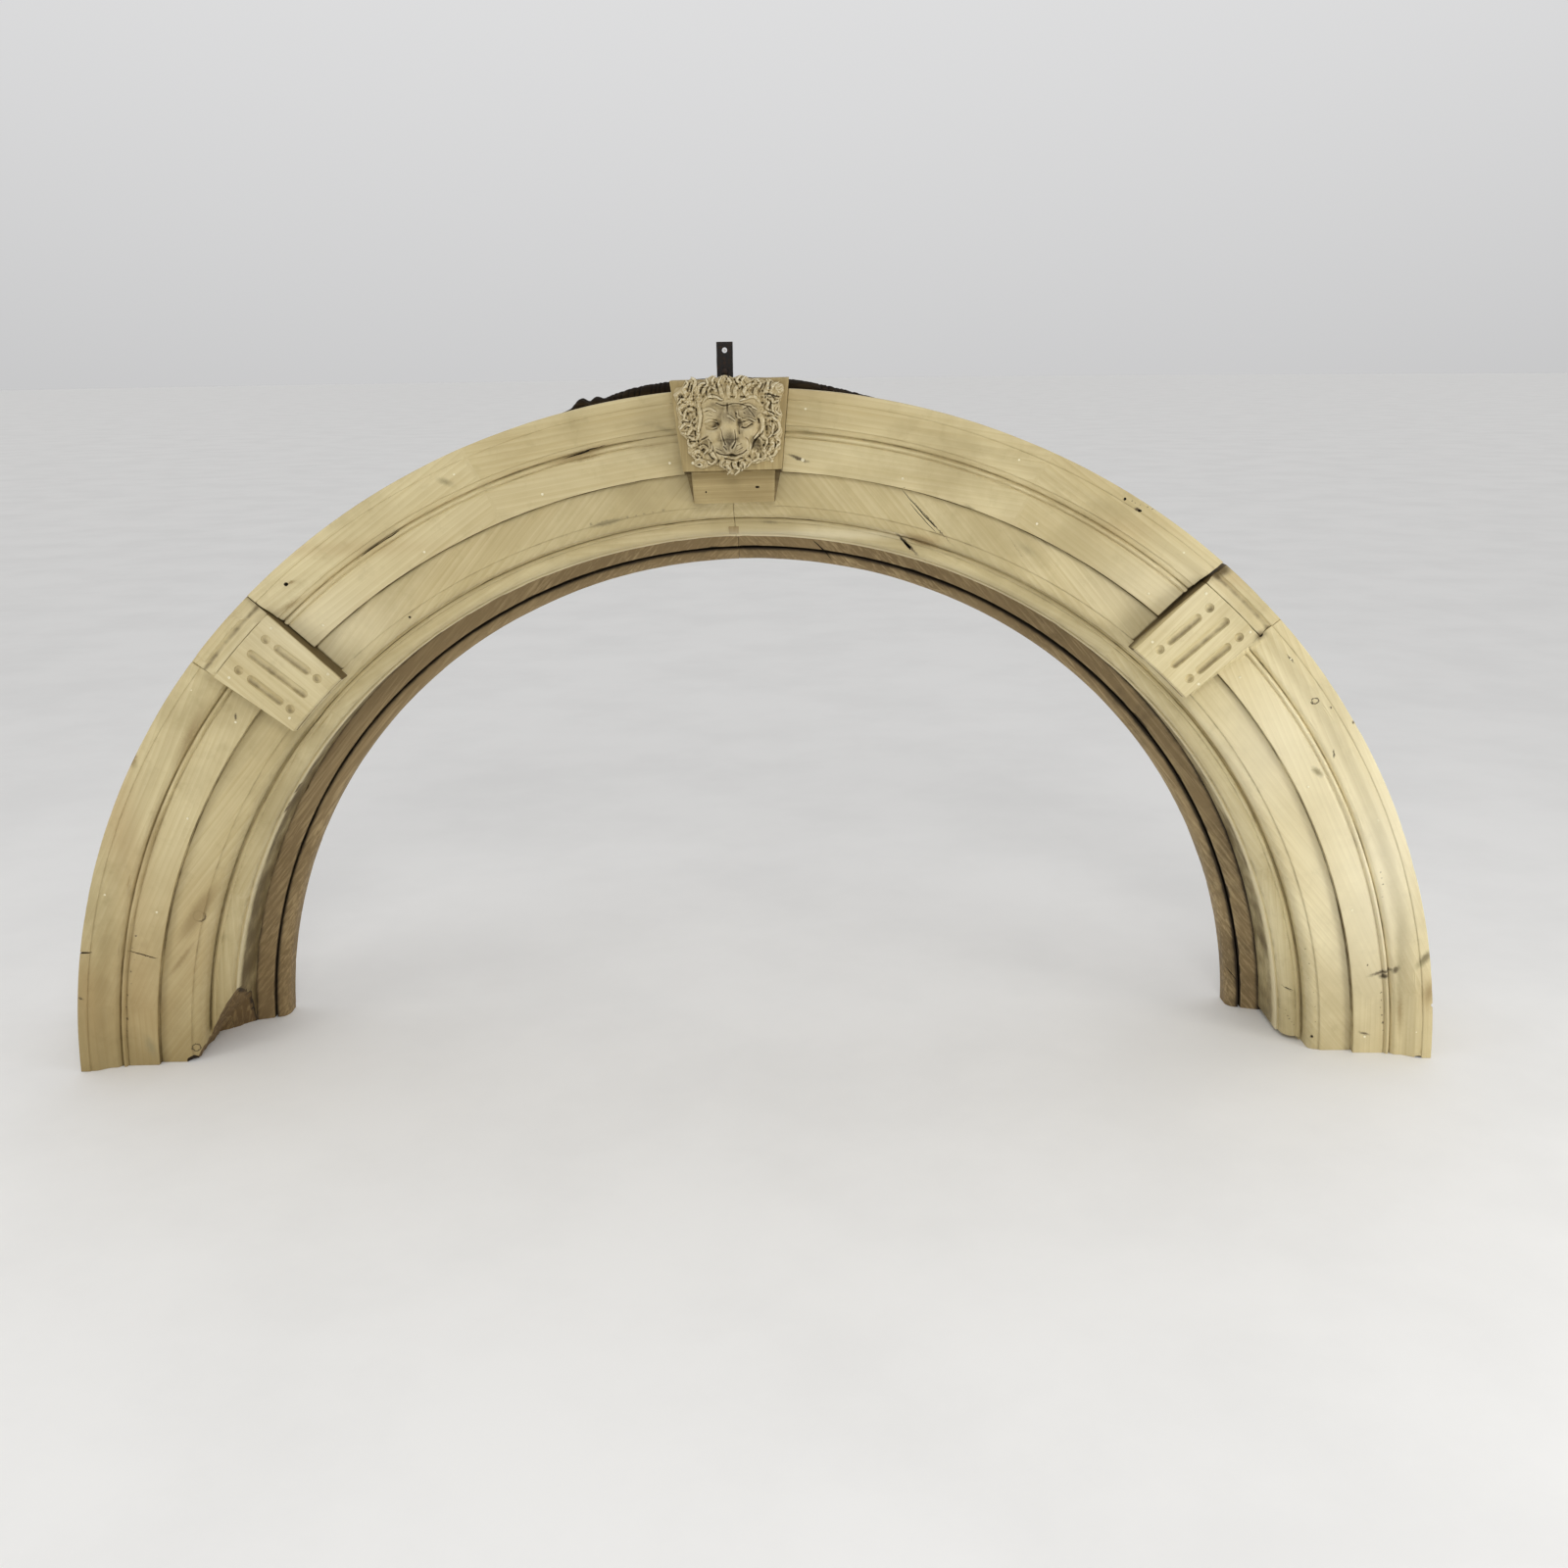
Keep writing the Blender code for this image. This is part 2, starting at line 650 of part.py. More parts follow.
def build_crest():
    """A low strip of carved leaves that follows the body of the arch behind the crown."""
    shape = bmesh.new()
    count = CREST_LEAVES * 4
    floor = BODY_OUTER_RADIUS + JOINT_GAP
    full = CREST_TOP_RADIUS - floor
    middle = (CREST_FRONT_DEPTH + CREST_BACK_DEPTH) / 2.0
    half = (CREST_BACK_DEPTH - CREST_FRONT_DEPTH) / 2.0
    stations = []
    for step in range(count + 1):
        share = step / count
        rise, bud, leaf = crest_profile(share)
        height = CREST_END_HEIGHT + (full - CREST_END_HEIGHT) * rise * (0.93 + 0.05 * leaf) + 0.004 * bud
        width = half * (0.55 + 0.45 * rise) + 0.002 * leaf
        angle = math.radians(CREST_RIGHT_END + (CREST_LEFT_END - CREST_RIGHT_END) * share)
        lean = CREST_LEAN if share > 0.5 else -CREST_LEAN
        loop = [
            (floor, middle - width, 0.0),
            (floor + height * 0.60, middle - width, 0.4),
            (floor + height * 0.90, middle - width * 0.80, 0.8),
            (floor + height, middle - width * 0.40, 1.0),
            (floor + height * 0.96, middle + width * 0.30, 1.0),
            (floor + height * 0.70, middle + width * 0.85, 0.6),
            (floor, middle + width, 0.0),
        ]
        stations.append([
            shape.verts.new(ring_point(radius, depth, angle - lean * swing)) for radius, depth, swing in loop
        ])
    size = len(stations[0])
    for first, second in zip(stations, stations[1:]):
        for i in range(size):
            j = (i + 1) % size
            shape.faces.new((first[i], first[j], second[j], second[i]))
    shape.faces.new(stations[0])
    shape.faces.new(stations[-1])
    return add_object("carved_crest", shape, "dark_carving", 40.0)


def build_strap():
    """A flat iron strap on the back face, with two holes over the arch and two on it."""
    front = FACE_Y + ARCH_DEPTH + JOINT_GAP
    shape = bmesh.new()
    bmesh.ops.create_cube(shape, size=1.0)
    bmesh.ops.scale(shape, vec=(STRAP_WIDTH, STRAP_THICKNESS, STRAP_LENGTH), verts=shape.verts)
    upright = [e for e in shape.edges if abs(e.verts[0].co.y - e.verts[1].co.y) > STRAP_THICKNESS / 2.0]
    bmesh.ops.bevel(shape, geom=upright, offset=0.002, segments=2, affect="EDGES")
    centre = Vector((STRAP_X, front + STRAP_THICKNESS / 2.0, STRAP_TOP_Z - STRAP_LENGTH / 2.0))
    bmesh.ops.translate(shape, vec=centre, verts=shape.verts)
    strap = add_object("hanging_strap", shape, "iron")
    for number, below_top in enumerate(STRAP_HOLES):
        drill = bmesh.new()
        bmesh.ops.create_cone(drill, cap_ends=True, segments=16, radius1=STRAP_HOLE_RADIUS,
                              radius2=STRAP_HOLE_RADIUS, depth=STRAP_THICKNESS * 3.0)
        for vert in drill.verts:
            vert.co = Vector((vert.co.x, vert.co.z, vert.co.y))
        bmesh.ops.translate(drill, vec=(STRAP_X, centre.y, STRAP_TOP_Z - below_top), verts=drill.verts)
        cut(strap, add_cutter(f"strap_drill_{number}", drill))
    return strap


def main():
    clear_scene()
    build_crown()
    build_rings()
    build_blocks()
    build_keystone()
    build_mask()
    build_crest()
    build_strap()


main()
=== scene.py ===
"""Looks of the carved wooden arch: worn, bleached pine mouldings on a raw brown ring, with a lion mask.

Units are metres, +Z is up and the carved face looks along -Y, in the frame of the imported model.
Places round the arch are (radius from its centre, depth behind its face, angle from the right foot).
Places read off the photograph are pixels of its 1600 x 1600 frame, and are laid on the surface seen there.
"""

import math

import bmesh
import bpy
import numpy as np
from mathutils import Matrix, Vector


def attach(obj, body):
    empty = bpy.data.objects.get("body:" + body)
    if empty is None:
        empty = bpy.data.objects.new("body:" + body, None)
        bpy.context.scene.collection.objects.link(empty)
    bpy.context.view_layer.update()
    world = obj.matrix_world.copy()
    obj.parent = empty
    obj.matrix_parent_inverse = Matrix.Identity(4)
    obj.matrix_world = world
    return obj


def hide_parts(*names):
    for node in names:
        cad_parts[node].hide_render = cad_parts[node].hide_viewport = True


# Sizes shared with the solids
OUTER_RADIUS = 1.100
CENTRE_BELOW_FEET = 0.031
FACE_Y = -0.1012
ARCH_DEPTH = 0.257
AXIS = 91.2
KEY_DIRECTION = 91.05
BLOCK_AWAY = 44.75
OPEN_JOINT = 0.32
NARROW_JOINT = 0.09
TIGHT_JOINT = 0.04
JOINT_GAP = 0.0003

FILLET_RADIUS = 1.085
OGEE_RADIUS = 1.048
QUIRK_RADIUS = 1.0385
BEAD_RADIUS = 1.0300
FASCIA_RADIUS = 0.9805
FASCIA_DEPTH = 0.0226
BODY_OUTER_RADIUS = 1.078
BODY_DEPTH = 0.0330
OVOLO_OUTER_RADIUS = 0.9290
OVOLO_INNER_RADIUS = 0.9120
GROOVE_FLOOR_DEPTH = 0.0750
BORE_RADIUS = 0.9078
INNER_FILLET_RADIUS = 0.9018
INNER_FILLET_DEPTH = 0.0665
TORUS_RADIUS = 0.9025
TORUS_DEPTH = 0.0920
TORUS_SIZE = 0.0215
SOFFIT_RADIUS = 0.8764
SOFFIT_FRONT_DEPTH = 0.0980
SOFFIT_BACK_DEPTH = 0.1970
RIGHT_MOULDING_LIFT = 0.008
BAND_RADIUS = 0.8484
BAND_DEPTH = 0.2060
BACK_GROOVE_RADIUS = 0.8435
BACK_GROOVE_DEPTH = 0.2220
ROLL_RADIUS = 0.8253

PLATE_OUTER_RADIUS = 1.0605
PLATE_INNER_RADIUS = 0.9165
PLATE_FRONT_DEPTH = -0.0030
CAP_FILLET_RADIUS = 1.0845
CAP_COVE_RADIUS = 1.0775
CAP_COVE_DEPTH = 0.0060
CAP_FOOT_DEPTH = -0.0010
FLUTE_RADIUS = 0.0070
FLUTE_SPACING = 0.0325
LONG_FLUTE = (0.9435, 1.0385)
SHORT_FLUTE = (0.9630, 1.0140)
DIMPLE_PLACES = (0.9430, 1.0370)
DIMPLE_RADIUS = 0.0075
FLUTE_CENTRE_LIFT = 0.0010
DIMPLE_CENTRE_LIFT = 0.0022

# Each block sits a little askew: its direction, its two sides as degrees from there at the plate's inner
# and outer radius, and the flutes' middle line as its offset at the plate's middle and its slope
BLOCKS = {
    "right": (AXIS - BLOCK_AWAY, (-2.63, -2.98), (4.30, 3.40), 0.0038, -0.090),
    "left": (AXIS + BLOCK_AWAY, (-3.65, -3.17), (3.39, 3.87), 0.0010, 0.068),
}

KEY_TOP_RADIUS = 1.1130
KEY_FOOT_RADIUS = 0.9850
KEY_TOP_HALF = 0.0854
KEY_FOOT_HALF = 0.0718
KEY_FRONT_DEPTH = -0.0200
LOWER_TOP_HALF = 0.0617
LOWER_FOOT_HALF = 0.0590
LOWER_FOOT_RADIUS = 0.9360
LOWER_FRONT_DEPTH = 0.0080
BASE_TOP_HALF = 0.0710
BASE_FRONT_DEPTH = 0.0240

# Camera of the photograph
PHOTO_SIZE = 1600
FOCAL_PIXELS = 1577.2
SENSOR = 36.0
CAMERA_PLACE = Vector((0.0558, -2.4007, 1.1234))
CAMERA_PITCH = math.radians(15.741)
CAMERA_YAW = math.radians(-0.106)
CAMERA_ROLL = math.radians(0.634)

# Fineness of the swept mouldings: degrees between stations, and metres between points of an outline
STATION_ANGLE = 0.25
FINE_ANGLE = 0.06
FINE_SPACING = 0.0026
PLAIN_SPACING = 0.030
CORNER_STEPS = 3
CORNER_ANGLE = math.radians(24.0)
ARRIS = 0.0007
CREASE = 32.0

# A cut that takes away more of a piece's points than this is a failed one
LEAST_KEPT = 0.7
CUT_ATTEMPTS = 4

TOWARDS_VIEWER = Vector((0.0, -1.0, 0.0))


def between(pair, share):
    """The value at this share of the way from the first of a pair to the second."""
    return pair[0] + (pair[1] - pair[0]) * share


def eased(share):
    """A share from 0 to 1, softened at both ends."""
    return share * share * (3.0 - 2.0 * share)


def camera_axes():
    """The directions of the picture's right, down and depth."""
    forward = Vector((
        math.sin(CAMERA_YAW) * math.cos(CAMERA_PITCH),
        math.cos(CAMERA_YAW) * math.cos(CAMERA_PITCH),
        -math.sin(CAMERA_PITCH),
    ))
    level = Vector((math.cos(CAMERA_YAW), -math.sin(CAMERA_YAW), 0.0))
    under = forward.cross(level)
    right = level * math.cos(CAMERA_ROLL) + under * math.sin(CAMERA_ROLL)
    down = under * math.cos(CAMERA_ROLL) - level * math.sin(CAMERA_ROLL)
    return right, down, forward


RIGHT, DOWN, FORWARD = camera_axes()


def add_camera():
    data = bpy.data.cameras.new("photo_camera")
    data.sensor_fit = "HORIZONTAL"
    data.sensor_width = SENSOR
    data.lens = FOCAL_PIXELS / PHOTO_SIZE * SENSOR
    data.clip_start = 0.05
    data.clip_end = 200.0
    camera = bpy.data.objects.new("photo_camera", data)
    bpy.context.scene.collection.objects.link(camera)
    turned = Matrix((RIGHT, -DOWN, -FORWARD)).transposed()
    camera.matrix_world = Matrix.Translation(CAMERA_PLACE) @ turned.to_4x4()
    bpy.context.scene.camera = camera


# How deep the front of the arch lies at each radius, from the inside out
FRONT = (
    (0.8253, 0.229), (0.8484, 0.206), (0.8764, 0.098), (0.8810, 0.097), (0.8920, 0.0735), (0.9018, 0.0665),
    (0.9078, 0.0665), (0.9120, 0.048), (0.9290, 0.0330), (0.9804, 0.0330), (0.9805, 0.0226),
    (1.0300, 0.0215), (1.0385, 0.0215), (1.0480, 0.0145), (1.0850, 0.001), (1.1000, 0.0),
)


def front_depth(radius):
    return float(np.interp(radius, [row[0] for row in FRONT], [row[1] for row in FRONT]))


def on_depth(pixel, depth):
    """The point seen at this pixel, on the plane at this depth behind the face."""
    across = (pixel[0] - PHOTO_SIZE / 2) / FOCAL_PIXELS
    below = (pixel[1] - PHOTO_SIZE / 2) / FOCAL_PIXELS
    ray = RIGHT * across + DOWN * below + FORWARD
    return CAMERA_PLACE + ray * ((FACE_Y + depth - CAMERA_PLACE.y) / ray.y)


def seen(pixel, depth=None):
    """The point of the arch's front seen at this pixel, on a given depth or on the moulding itself."""
    if depth is not None:
        return on_depth(pixel, depth)
    place = on_depth(pixel, 0.03)
    for _ in range(6):
        radius = math.hypot(place.x, place.z + CENTRE_BELOW_FEET)
        place = on_depth(pixel, front_depth(radius))
    return place


def polar(points):
    """Radius, depth and angle in degrees of an array of points."""
    x = points[..., 0]
    z = points[..., 2] + CENTRE_BELOW_FEET
    return np.hypot(x, z), points[..., 1] - FACE_Y, np.degrees(np.arctan2(z, x))


def from_polar(radius, depth, angle):
    turn = np.radians(angle)
    parts = (radius * np.cos(turn), FACE_Y + depth, radius * np.sin(turn) - CENTRE_BELOW_FEET)
    return np.stack(np.broadcast_arrays(*parts), axis=-1)


def local_to_world(across, radius, depth, direction):
    """Points in the frame of a block whose middle line leaves the centre in this direction."""
    turn = math.radians(direction)
    x = radius * math.cos(turn) + across * math.sin(turn)
    z = radius * math.sin(turn) - across * math.cos(turn) - CENTRE_BELOW_FEET
    return np.stack(np.broadcast_arrays(x, FACE_Y + depth, z), axis=-1)


def world_to_local(points, direction):
    """(across, radius, depth) of points in that frame."""
    turn = math.radians(direction)
    x = points[:, 0]
    z = points[:, 2] + CENTRE_BELOW_FEET
    across = x * math.sin(turn) - z * math.cos(turn)
    radius = x * math.cos(turn) + z * math.sin(turn)
    return np.column_stack((across, radius, points[:, 1] - FACE_Y))


# Noise

def lattice(cells, seed):
    """A fixed number from 0 to 1 for each whole cell."""
    mask = 0xFFFFFFFF
    mixed = cells[..., 0] * 374761393 + cells[..., 1] * 668265263 + cells[..., 2] * 1440662683
    mixed = (mixed + seed * 974711) & mask
    mixed = ((mixed ^ (mixed >> 13)) * 1274126177) & mask
    mixed = ((mixed ^ (mixed >> 16)) * 668265263) & mask
    return (mixed ^ (mixed >> 15)) / mask


def noise(points, size, seed=0):
    """Smooth noise from -1 to 1 with cells of this size, one number or three."""
    scaled = points / np.asarray(size)
    cells = np.floor(scaled).astype(np.int64)
    part = eased(scaled - cells)
    total = 0.0
    for corner in range(8):
        step = np.array([corner & 1, corner >> 1 & 1, corner >> 2 & 1])
        weight = np.prod(np.where(step, part, 1.0 - part), axis=-1)
        total = total + weight * lattice(cells + step, seed)
    return total * 2.0 - 1.0


def rough(points, size, seed=0):
    """Three layers of noise, each finer and weaker."""
    total = 0.0
    for share, number in ((1.0, 0), (0.5, 1), (0.25, 2)):
        total = total + share * noise(points, np.asarray(size) * share, seed + number * 17)
    return total / 1.75


def line_noise(place, size, seed=0):
    """Noise at one place along a line."""
    return float(noise(np.array((place, 0.0, 0.0)), size, seed))


# Section outlines: lists of (radius, depth)

def arc(centre, size, start, end, count):
    turns = [math.radians(between((start, end), i / count)) for i in range(count + 1)]
    return [(centre[0] + size[0] * math.cos(t), centre[1] - size[1] * math.sin(t)) for t in turns]


def ogee(outer, inner, count):
    """A round that turns into a hollow, from the outer to the inner point."""
    points = []
    for i in range(count + 1):
        share = i / count
        ease = share - math.sin(2.0 * math.pi * share) / (2.0 * math.pi)
        points.append((between((outer[0], inner[0]), share), between((outer[1], inner[1]), ease)))
    return points


def softened(outline, hidden, size=ARRIS, spacing=FINE_SPACING):
    """A closed outline, its corners rounded and sides divided; hidden(radius, depth) keeps a side coarse."""
    points = [Vector(point) for point in outline]
    rounded = []
    for i, here in enumerate(points):
        before = points[i - 1] - here
        after = points[(i + 1) % len(points)] - here
        if math.pi - before.angle(after) < CORNER_ANGLE:
            rounded.append(here)
            continue
        first = here + before.normalized() * min(size, before.length * 0.4)
        last = here + after.normalized() * min(size, after.length * 0.4)
        for step in range(CORNER_STEPS + 1):
            t = step / CORNER_STEPS
            rounded.append(first * (1.0 - t) ** 2 + here * (2.0 * t * (1.0 - t)) + last * t * t)
    divided = []
    for here, after in zip(rounded, rounded[1:] + rounded[:1]):
        plain = hidden((here.x + after.x) / 2.0, (here.y + after.y) / 2.0)
        count = max(1, math.ceil((after - here).length / (PLAIN_SPACING if plain else spacing)))
        divided += [here.lerp(after, step / count) for step in range(count)]
    return np.array(divided)


def crown_outline(arris):
    """The crown moulding with the first fascia. With an arris, the ogee ends sharp over a sunk band."""
    back = BODY_DEPTH - JOINT_GAP
    bead_size = ((QUIRK_RADIUS - BEAD_RADIUS) / 2.0 - 0.0009, 0.0045)
    bead_centre = ((QUIRK_RADIUS + BEAD_RADIUS) / 2.0, 0.0208)
    outline = [(OUTER_RADIUS, 0.0), (FILLET_RADIUS, 0.0006), (FILLET_RADIUS - 0.0004, 0.0026)]
    outline += ogee((FILLET_RADIUS - 0.0012, 0.0026), (OGEE_RADIUS, 0.0140), 14)[1:]
    if arris:
        outline += [(OGEE_RADIUS - 0.0006, 0.0172), (QUIRK_RADIUS + 0.0018, 0.0205)]
    else:
        outline += [(OGEE_RADIUS - 0.0035, 0.0152), (QUIRK_RADIUS + 0.0018, 0.0196)]
    outline += [(QUIRK_RADIUS + 0.0002, 0.0236)]
    outline += arc(bead_centre, bead_size, 0.0, 180.0, 8)
    outline += [(BEAD_RADIUS + 0.0002, 0.0226), (BEAD_RADIUS - 0.0012, 0.0212)]
    outline += [(FASCIA_RADIUS, FASCIA_DEPTH), (FASCIA_RADIUS, back), (OUTER_RADIUS, back)]
    return outline


def body_outline():
    size = (OVOLO_OUTER_RADIUS - OVOLO_INNER_RADIUS - 0.001, 0.0115)
    outline = [(BODY_OUTER_RADIUS, BODY_DEPTH), (FASCIA_RADIUS + 0.0010, BODY_DEPTH)]
    outline += [(FASCIA_RADIUS - 0.0006, BODY_DEPTH + 0.0007), (FASCIA_RADIUS - 0.0020, BODY_DEPTH)]
    outline += [(OVOLO_OUTER_RADIUS + 0.0008, BODY_DEPTH + 0.0006)]
    outline += [(OVOLO_OUTER_RADIUS, BODY_DEPTH + 0.0030)]
    outline += arc((OVOLO_OUTER_RADIUS - 0.001, 0.0480), size, 90.0, 180.0, 10)
    outline += [(OVOLO_INNER_RADIUS, GROOVE_FLOOR_DEPTH), (BORE_RADIUS, GROOVE_FLOOR_DEPTH)]
    outline += [(BORE_RADIUS, SOFFIT_BACK_DEPTH), (BODY_OUTER_RADIUS, SOFFIT_BACK_DEPTH)]
    return outline


def inner_outline():
    outer = BORE_RADIUS - JOINT_GAP
    outline = [(outer, INNER_FILLET_DEPTH), (INNER_FILLET_RADIUS + 0.0006, INNER_FILLET_DEPTH)]
    outline += [(INNER_FILLET_RADIUS, INNER_FILLET_DEPTH + 0.0045)]
    outline += arc((TORUS_RADIUS, TORUS_DEPTH), (TORUS_SIZE, TORUS_SIZE), 97.0, 180.0, 16)
    outline += [(TORUS_RADIUS - TORUS_SIZE, SOFFIT_FRONT_DEPTH + 0.0006)]
    outline += [(SOFFIT_RADIUS, SOFFIT_FRONT_DEPTH), (SOFFIT_RADIUS, SOFFIT_BACK_DEPTH)]
    outline += [(outer, SOFFIT_BACK_DEPTH)]
    return outline


def back_outline():
    front = SOFFIT_BACK_DEPTH + JOINT_GAP
    roll = (BACK_GROOVE_RADIUS - ROLL_RADIUS, 0.0200)
    outline = [(BODY_OUTER_RADIUS, front), (SOFFIT_RADIUS, front), (BAND_RADIUS, BAND_DEPTH)]
    outline += [(BAND_RADIUS - 0.0006, BACK_GROOVE_DEPTH), (BACK_GROOVE_RADIUS + 0.0004, BACK_GROOVE_DEPTH)]
    outline += arc((BACK_GROOVE_RADIUS, 0.2290), roll, 84.0, 180.0, 12)
    outline += [(ROLL_RADIUS, ARCH_DEPTH - 0.004), (ROLL_RADIUS + 0.003, ARCH_DEPTH)]
    outline += [(BODY_OUTER_RADIUS, ARCH_DEPTH)]
    return outline


def plate_outline():
    back = BODY_DEPTH - JOINT_GAP
    front = PLATE_FRONT_DEPTH
    outline = [(PLATE_OUTER_RADIUS, back), (PLATE_OUTER_RADIUS, front), (PLATE_INNER_RADIUS + 0.0036, front)]
    outline += [(PLATE_INNER_RADIUS + 0.0022, front + 0.0030), (PLATE_INNER_RADIUS + 0.0016, front + 0.0085)]
    outline += [(PLATE_INNER_RADIUS, front + 0.0095), (PLATE_INNER_RADIUS, back)]
    return outline


# Ends of a length: angle in degrees at each radius and depth

def radial_end(direction):
    return lambda radius, depth: np.full_like(radius, direction)


def plate_share(radius):
    """How far out a radius lies on the fluted plates: 0 at their inner end, 1 at their outer one."""
    return (radius - PLATE_INNER_RADIUS) / (PLATE_OUTER_RADIUS - PLATE_INNER_RADIUS)


def block_side(direction, side, radius):
    """The angle of a block's side at this radius."""
    return direction + between(side, plate_share(radius))


def block_end(direction, side, aside=0.0):
    return lambda radius, depth: block_side(direction, side, radius) + aside


def foot_end(left, lift=0.0):
    def angle_at(radius, depth):
        angle = np.degrees(np.arcsin((CENTRE_BELOW_FEET + lift) / radius))
        return 180.0 - angle if left else angle
    return angle_at


def keystone_end(left):
    side = 1.0 if left else -1.0

    def angle_at(radius, depth):
        share = (radius - KEY_FOOT_RADIUS) / (KEY_TOP_RADIUS - KEY_FOOT_RADIUS)
        half = between((KEY_FOOT_HALF, KEY_TOP_HALF), share) + JOINT_GAP
        return KEY_DIRECTION + side * np.degrees(np.arcsin(half / radius))
    return angle_at


# Meshes

def finished_object(name, mesh, finish, crease=CREASE):
    """An object for a mesh that is smooth but for its creases, in degrees."""
    mesh.shade_smooth()
    mesh.set_sharp_from_angle(angle=math.radians(crease))
    mesh.materials.append(finish)
    made = bpy.data.objects.new(name, mesh)
    bpy.context.scene.collection.objects.link(made)
    return made


def make_mesh(name, points, faces, finish, crease=CREASE):
    """An object from arrays of points and faces, with its faces turned outwards."""
    mesh = bpy.data.meshes.new(name)
    mesh.from_pydata(np.reshape(points, (-1, 3)).tolist(), [], faces)
    turned = bmesh.new()
    turned.from_mesh(mesh)
    bmesh.ops.recalc_face_normals(turned, faces=turned.faces)
    turned.to_mesh(mesh)
    turned.free()
    return finished_object(name, mesh, finish, crease)


def read_points(mesh):
    points = np.empty(len(mesh.vertices) * 3, np.float32)
    mesh.vertices.foreach_get("co", points)
    return points.reshape(-1, 3).astype(float)


def taken_apart(shape):
    """The points and faces of a bmesh, which is freed."""
    points = np.array([vert.co for vert in shape.verts])
    faces = [[vert.index for vert in face.verts] for face in shape.faces]
    shape.free()
    return points, faces


def loop_faces(stations, size):
    """Quads between neighbouring loops of points, and the two end caps."""
    start = np.arange(stations - 1)[:, None] * size
    index = np.arange(size)[None, :]
    after = (index + 1) % size
    quads = np.stack((start + index, start + after, start + size + after, start + size + index), axis=-1)
    caps = [list(range(size)), list(range((stations - 1) * size, stations * size))]
    return quads.reshape(-1, 4).tolist() + caps


def turned_shape(rings, side, other):
    """Points and faces of a closed turned shape; rings are (centre, radius), a point at either end."""
    sides = 28
    spins = [2.0 * math.pi * k / sides for k in range(sides)]
    points = [rings[0][0]]
    for centre, radius in rings[1:-1]:
        points += [centre + (side * math.cos(spin) + other * math.sin(spin)) * radius for spin in spins]
    points.append(rings[-1][0])
    around = [(k, (k + 1) % sides) for k in range(sides)]
    faces = [[0, 1 + after, 1 + k] for k, after in around]
    for low in range(1, 1 + (len(rings) - 3) * sides, sides):
        faces += [[low + k, low + after, low + sides + after, low + sides + k] for k, after in around]
    last = 1 + (len(rings) - 3) * sides
    faces += [[last + k, last + after, len(points) - 1] for k, after in around]
    return points, faces


def outline_normals(outline):
    """Outward directions and how sharp and convex each point of a closed outline is."""
    before = outline - np.roll(outline, 1, axis=0)
    after = np.roll(outline, -1, axis=0) - outline
    before /= np.linalg.norm(before, axis=1)[:, None] + 1e-9
    after /= np.linalg.norm(after, axis=1)[:, None] + 1e-9
    tangent = before + after
    tangent /= np.linalg.norm(tangent, axis=1)[:, None] + 1e-9
    radius, depth = outline.T
    area = 0.5 * np.sum(radius * np.roll(depth, -1) - np.roll(radius, -1) * depth)
    side = 1.0 if area > 0.0 else -1.0
    normal = np.column_stack((tangent[:, 1], -tangent[:, 0])) * side
    bend = (before[:, 0] * after[:, 1] - before[:, 1] * after[:, 0]) * side
    return normal, np.clip(bend * 2.2, -1.0, 1.0)


def sweep(name, outline, start, end, finish, wear=1.0, seed=0, fine=(), step=STATION_ANGLE):
    """A worn moulding: the outline swept between two end cuts, with soft ends and chipped arrises."""
    normal, bend = outline_normals(outline)
    radius = outline[:, 0]
    depth = outline[:, 1]
    first = start(radius, depth)
    last = end(radius, depth)
    span = float(np.mean(last - first))
    soft = math.degrees(ARRIS / float(np.mean(radius)))
    shares = list(np.linspace(0.0, 1.0, max(2, round(abs(span) / step)) + 1))
    edge = soft / abs(span)
    shares += [edge, 1.0 - edge]
    sunk = {0.0: ARRIS, 1.0: ARRIS}
    for low, high in fine:
        near, far = sorted((place - float(np.mean(first))) / span for place in (low, high))
        count = math.ceil((far - near) * abs(span) / FINE_ANGLE)
        added = np.linspace(near, far, count + 1)
        shares += [float(share) for share in added if edge * 1.5 < share < 1.0 - edge * 1.5]
    shares = np.array(sorted(shares))
    angle = first[None, :] + (last - first)[None, :] * shares[:, None]
    sink = np.array([sunk.get(share, 0.0) for share in shares])[:, None]
    place = from_polar(radius[None, :], depth[None, :], angle)
    wave = 0.00028 * noise(place, 0.070, seed) + 0.00010 * noise(place, 0.012, seed + 5)
    chip = np.clip(rough(place, 0.030, seed + 9) - 0.22, 0.0, 1.0) * 0.0060
    lost = np.clip(bend, 0.0, 1.0)[None, :] * (chip + 0.00015)
    move = wear * (wave - lost) - sink
    worn_radius = radius[None, :] + normal[None, :, 0] * move
    worn_depth = depth[None, :] + normal[None, :, 1] * move
    points = from_polar(worn_radius, worn_depth, angle)
    return make_mesh(name, points, loop_faces(len(shares), len(outline)), finish)


# Materials

def feed(made, inputs):
    """Gives the inputs of a shader node their values: a socket to take from, or a plain value."""
    for key, value in inputs.items():
        if isinstance(value, bpy.types.NodeSocket):
            made.id_data.links.new(value, made.inputs[key])
        elif value is not None:
            made.inputs[key].default_value = value


def node(tree, kind, inputs=None, **settings):
    made = tree.nodes.new(kind)
    for key, value in settings.items():
        setattr(made, key, value)
    feed(made, inputs or {})
    return made


def new_material(name):
    """A material, its node tree, its shader and the place on the object."""
    made = bpy.data.materials.new(name)
    made.use_nodes = True
    tree = made.node_tree
    return made, tree, tree.nodes["Principled BSDF"], node(tree, "ShaderNodeTexCoord").outputs["Object"]


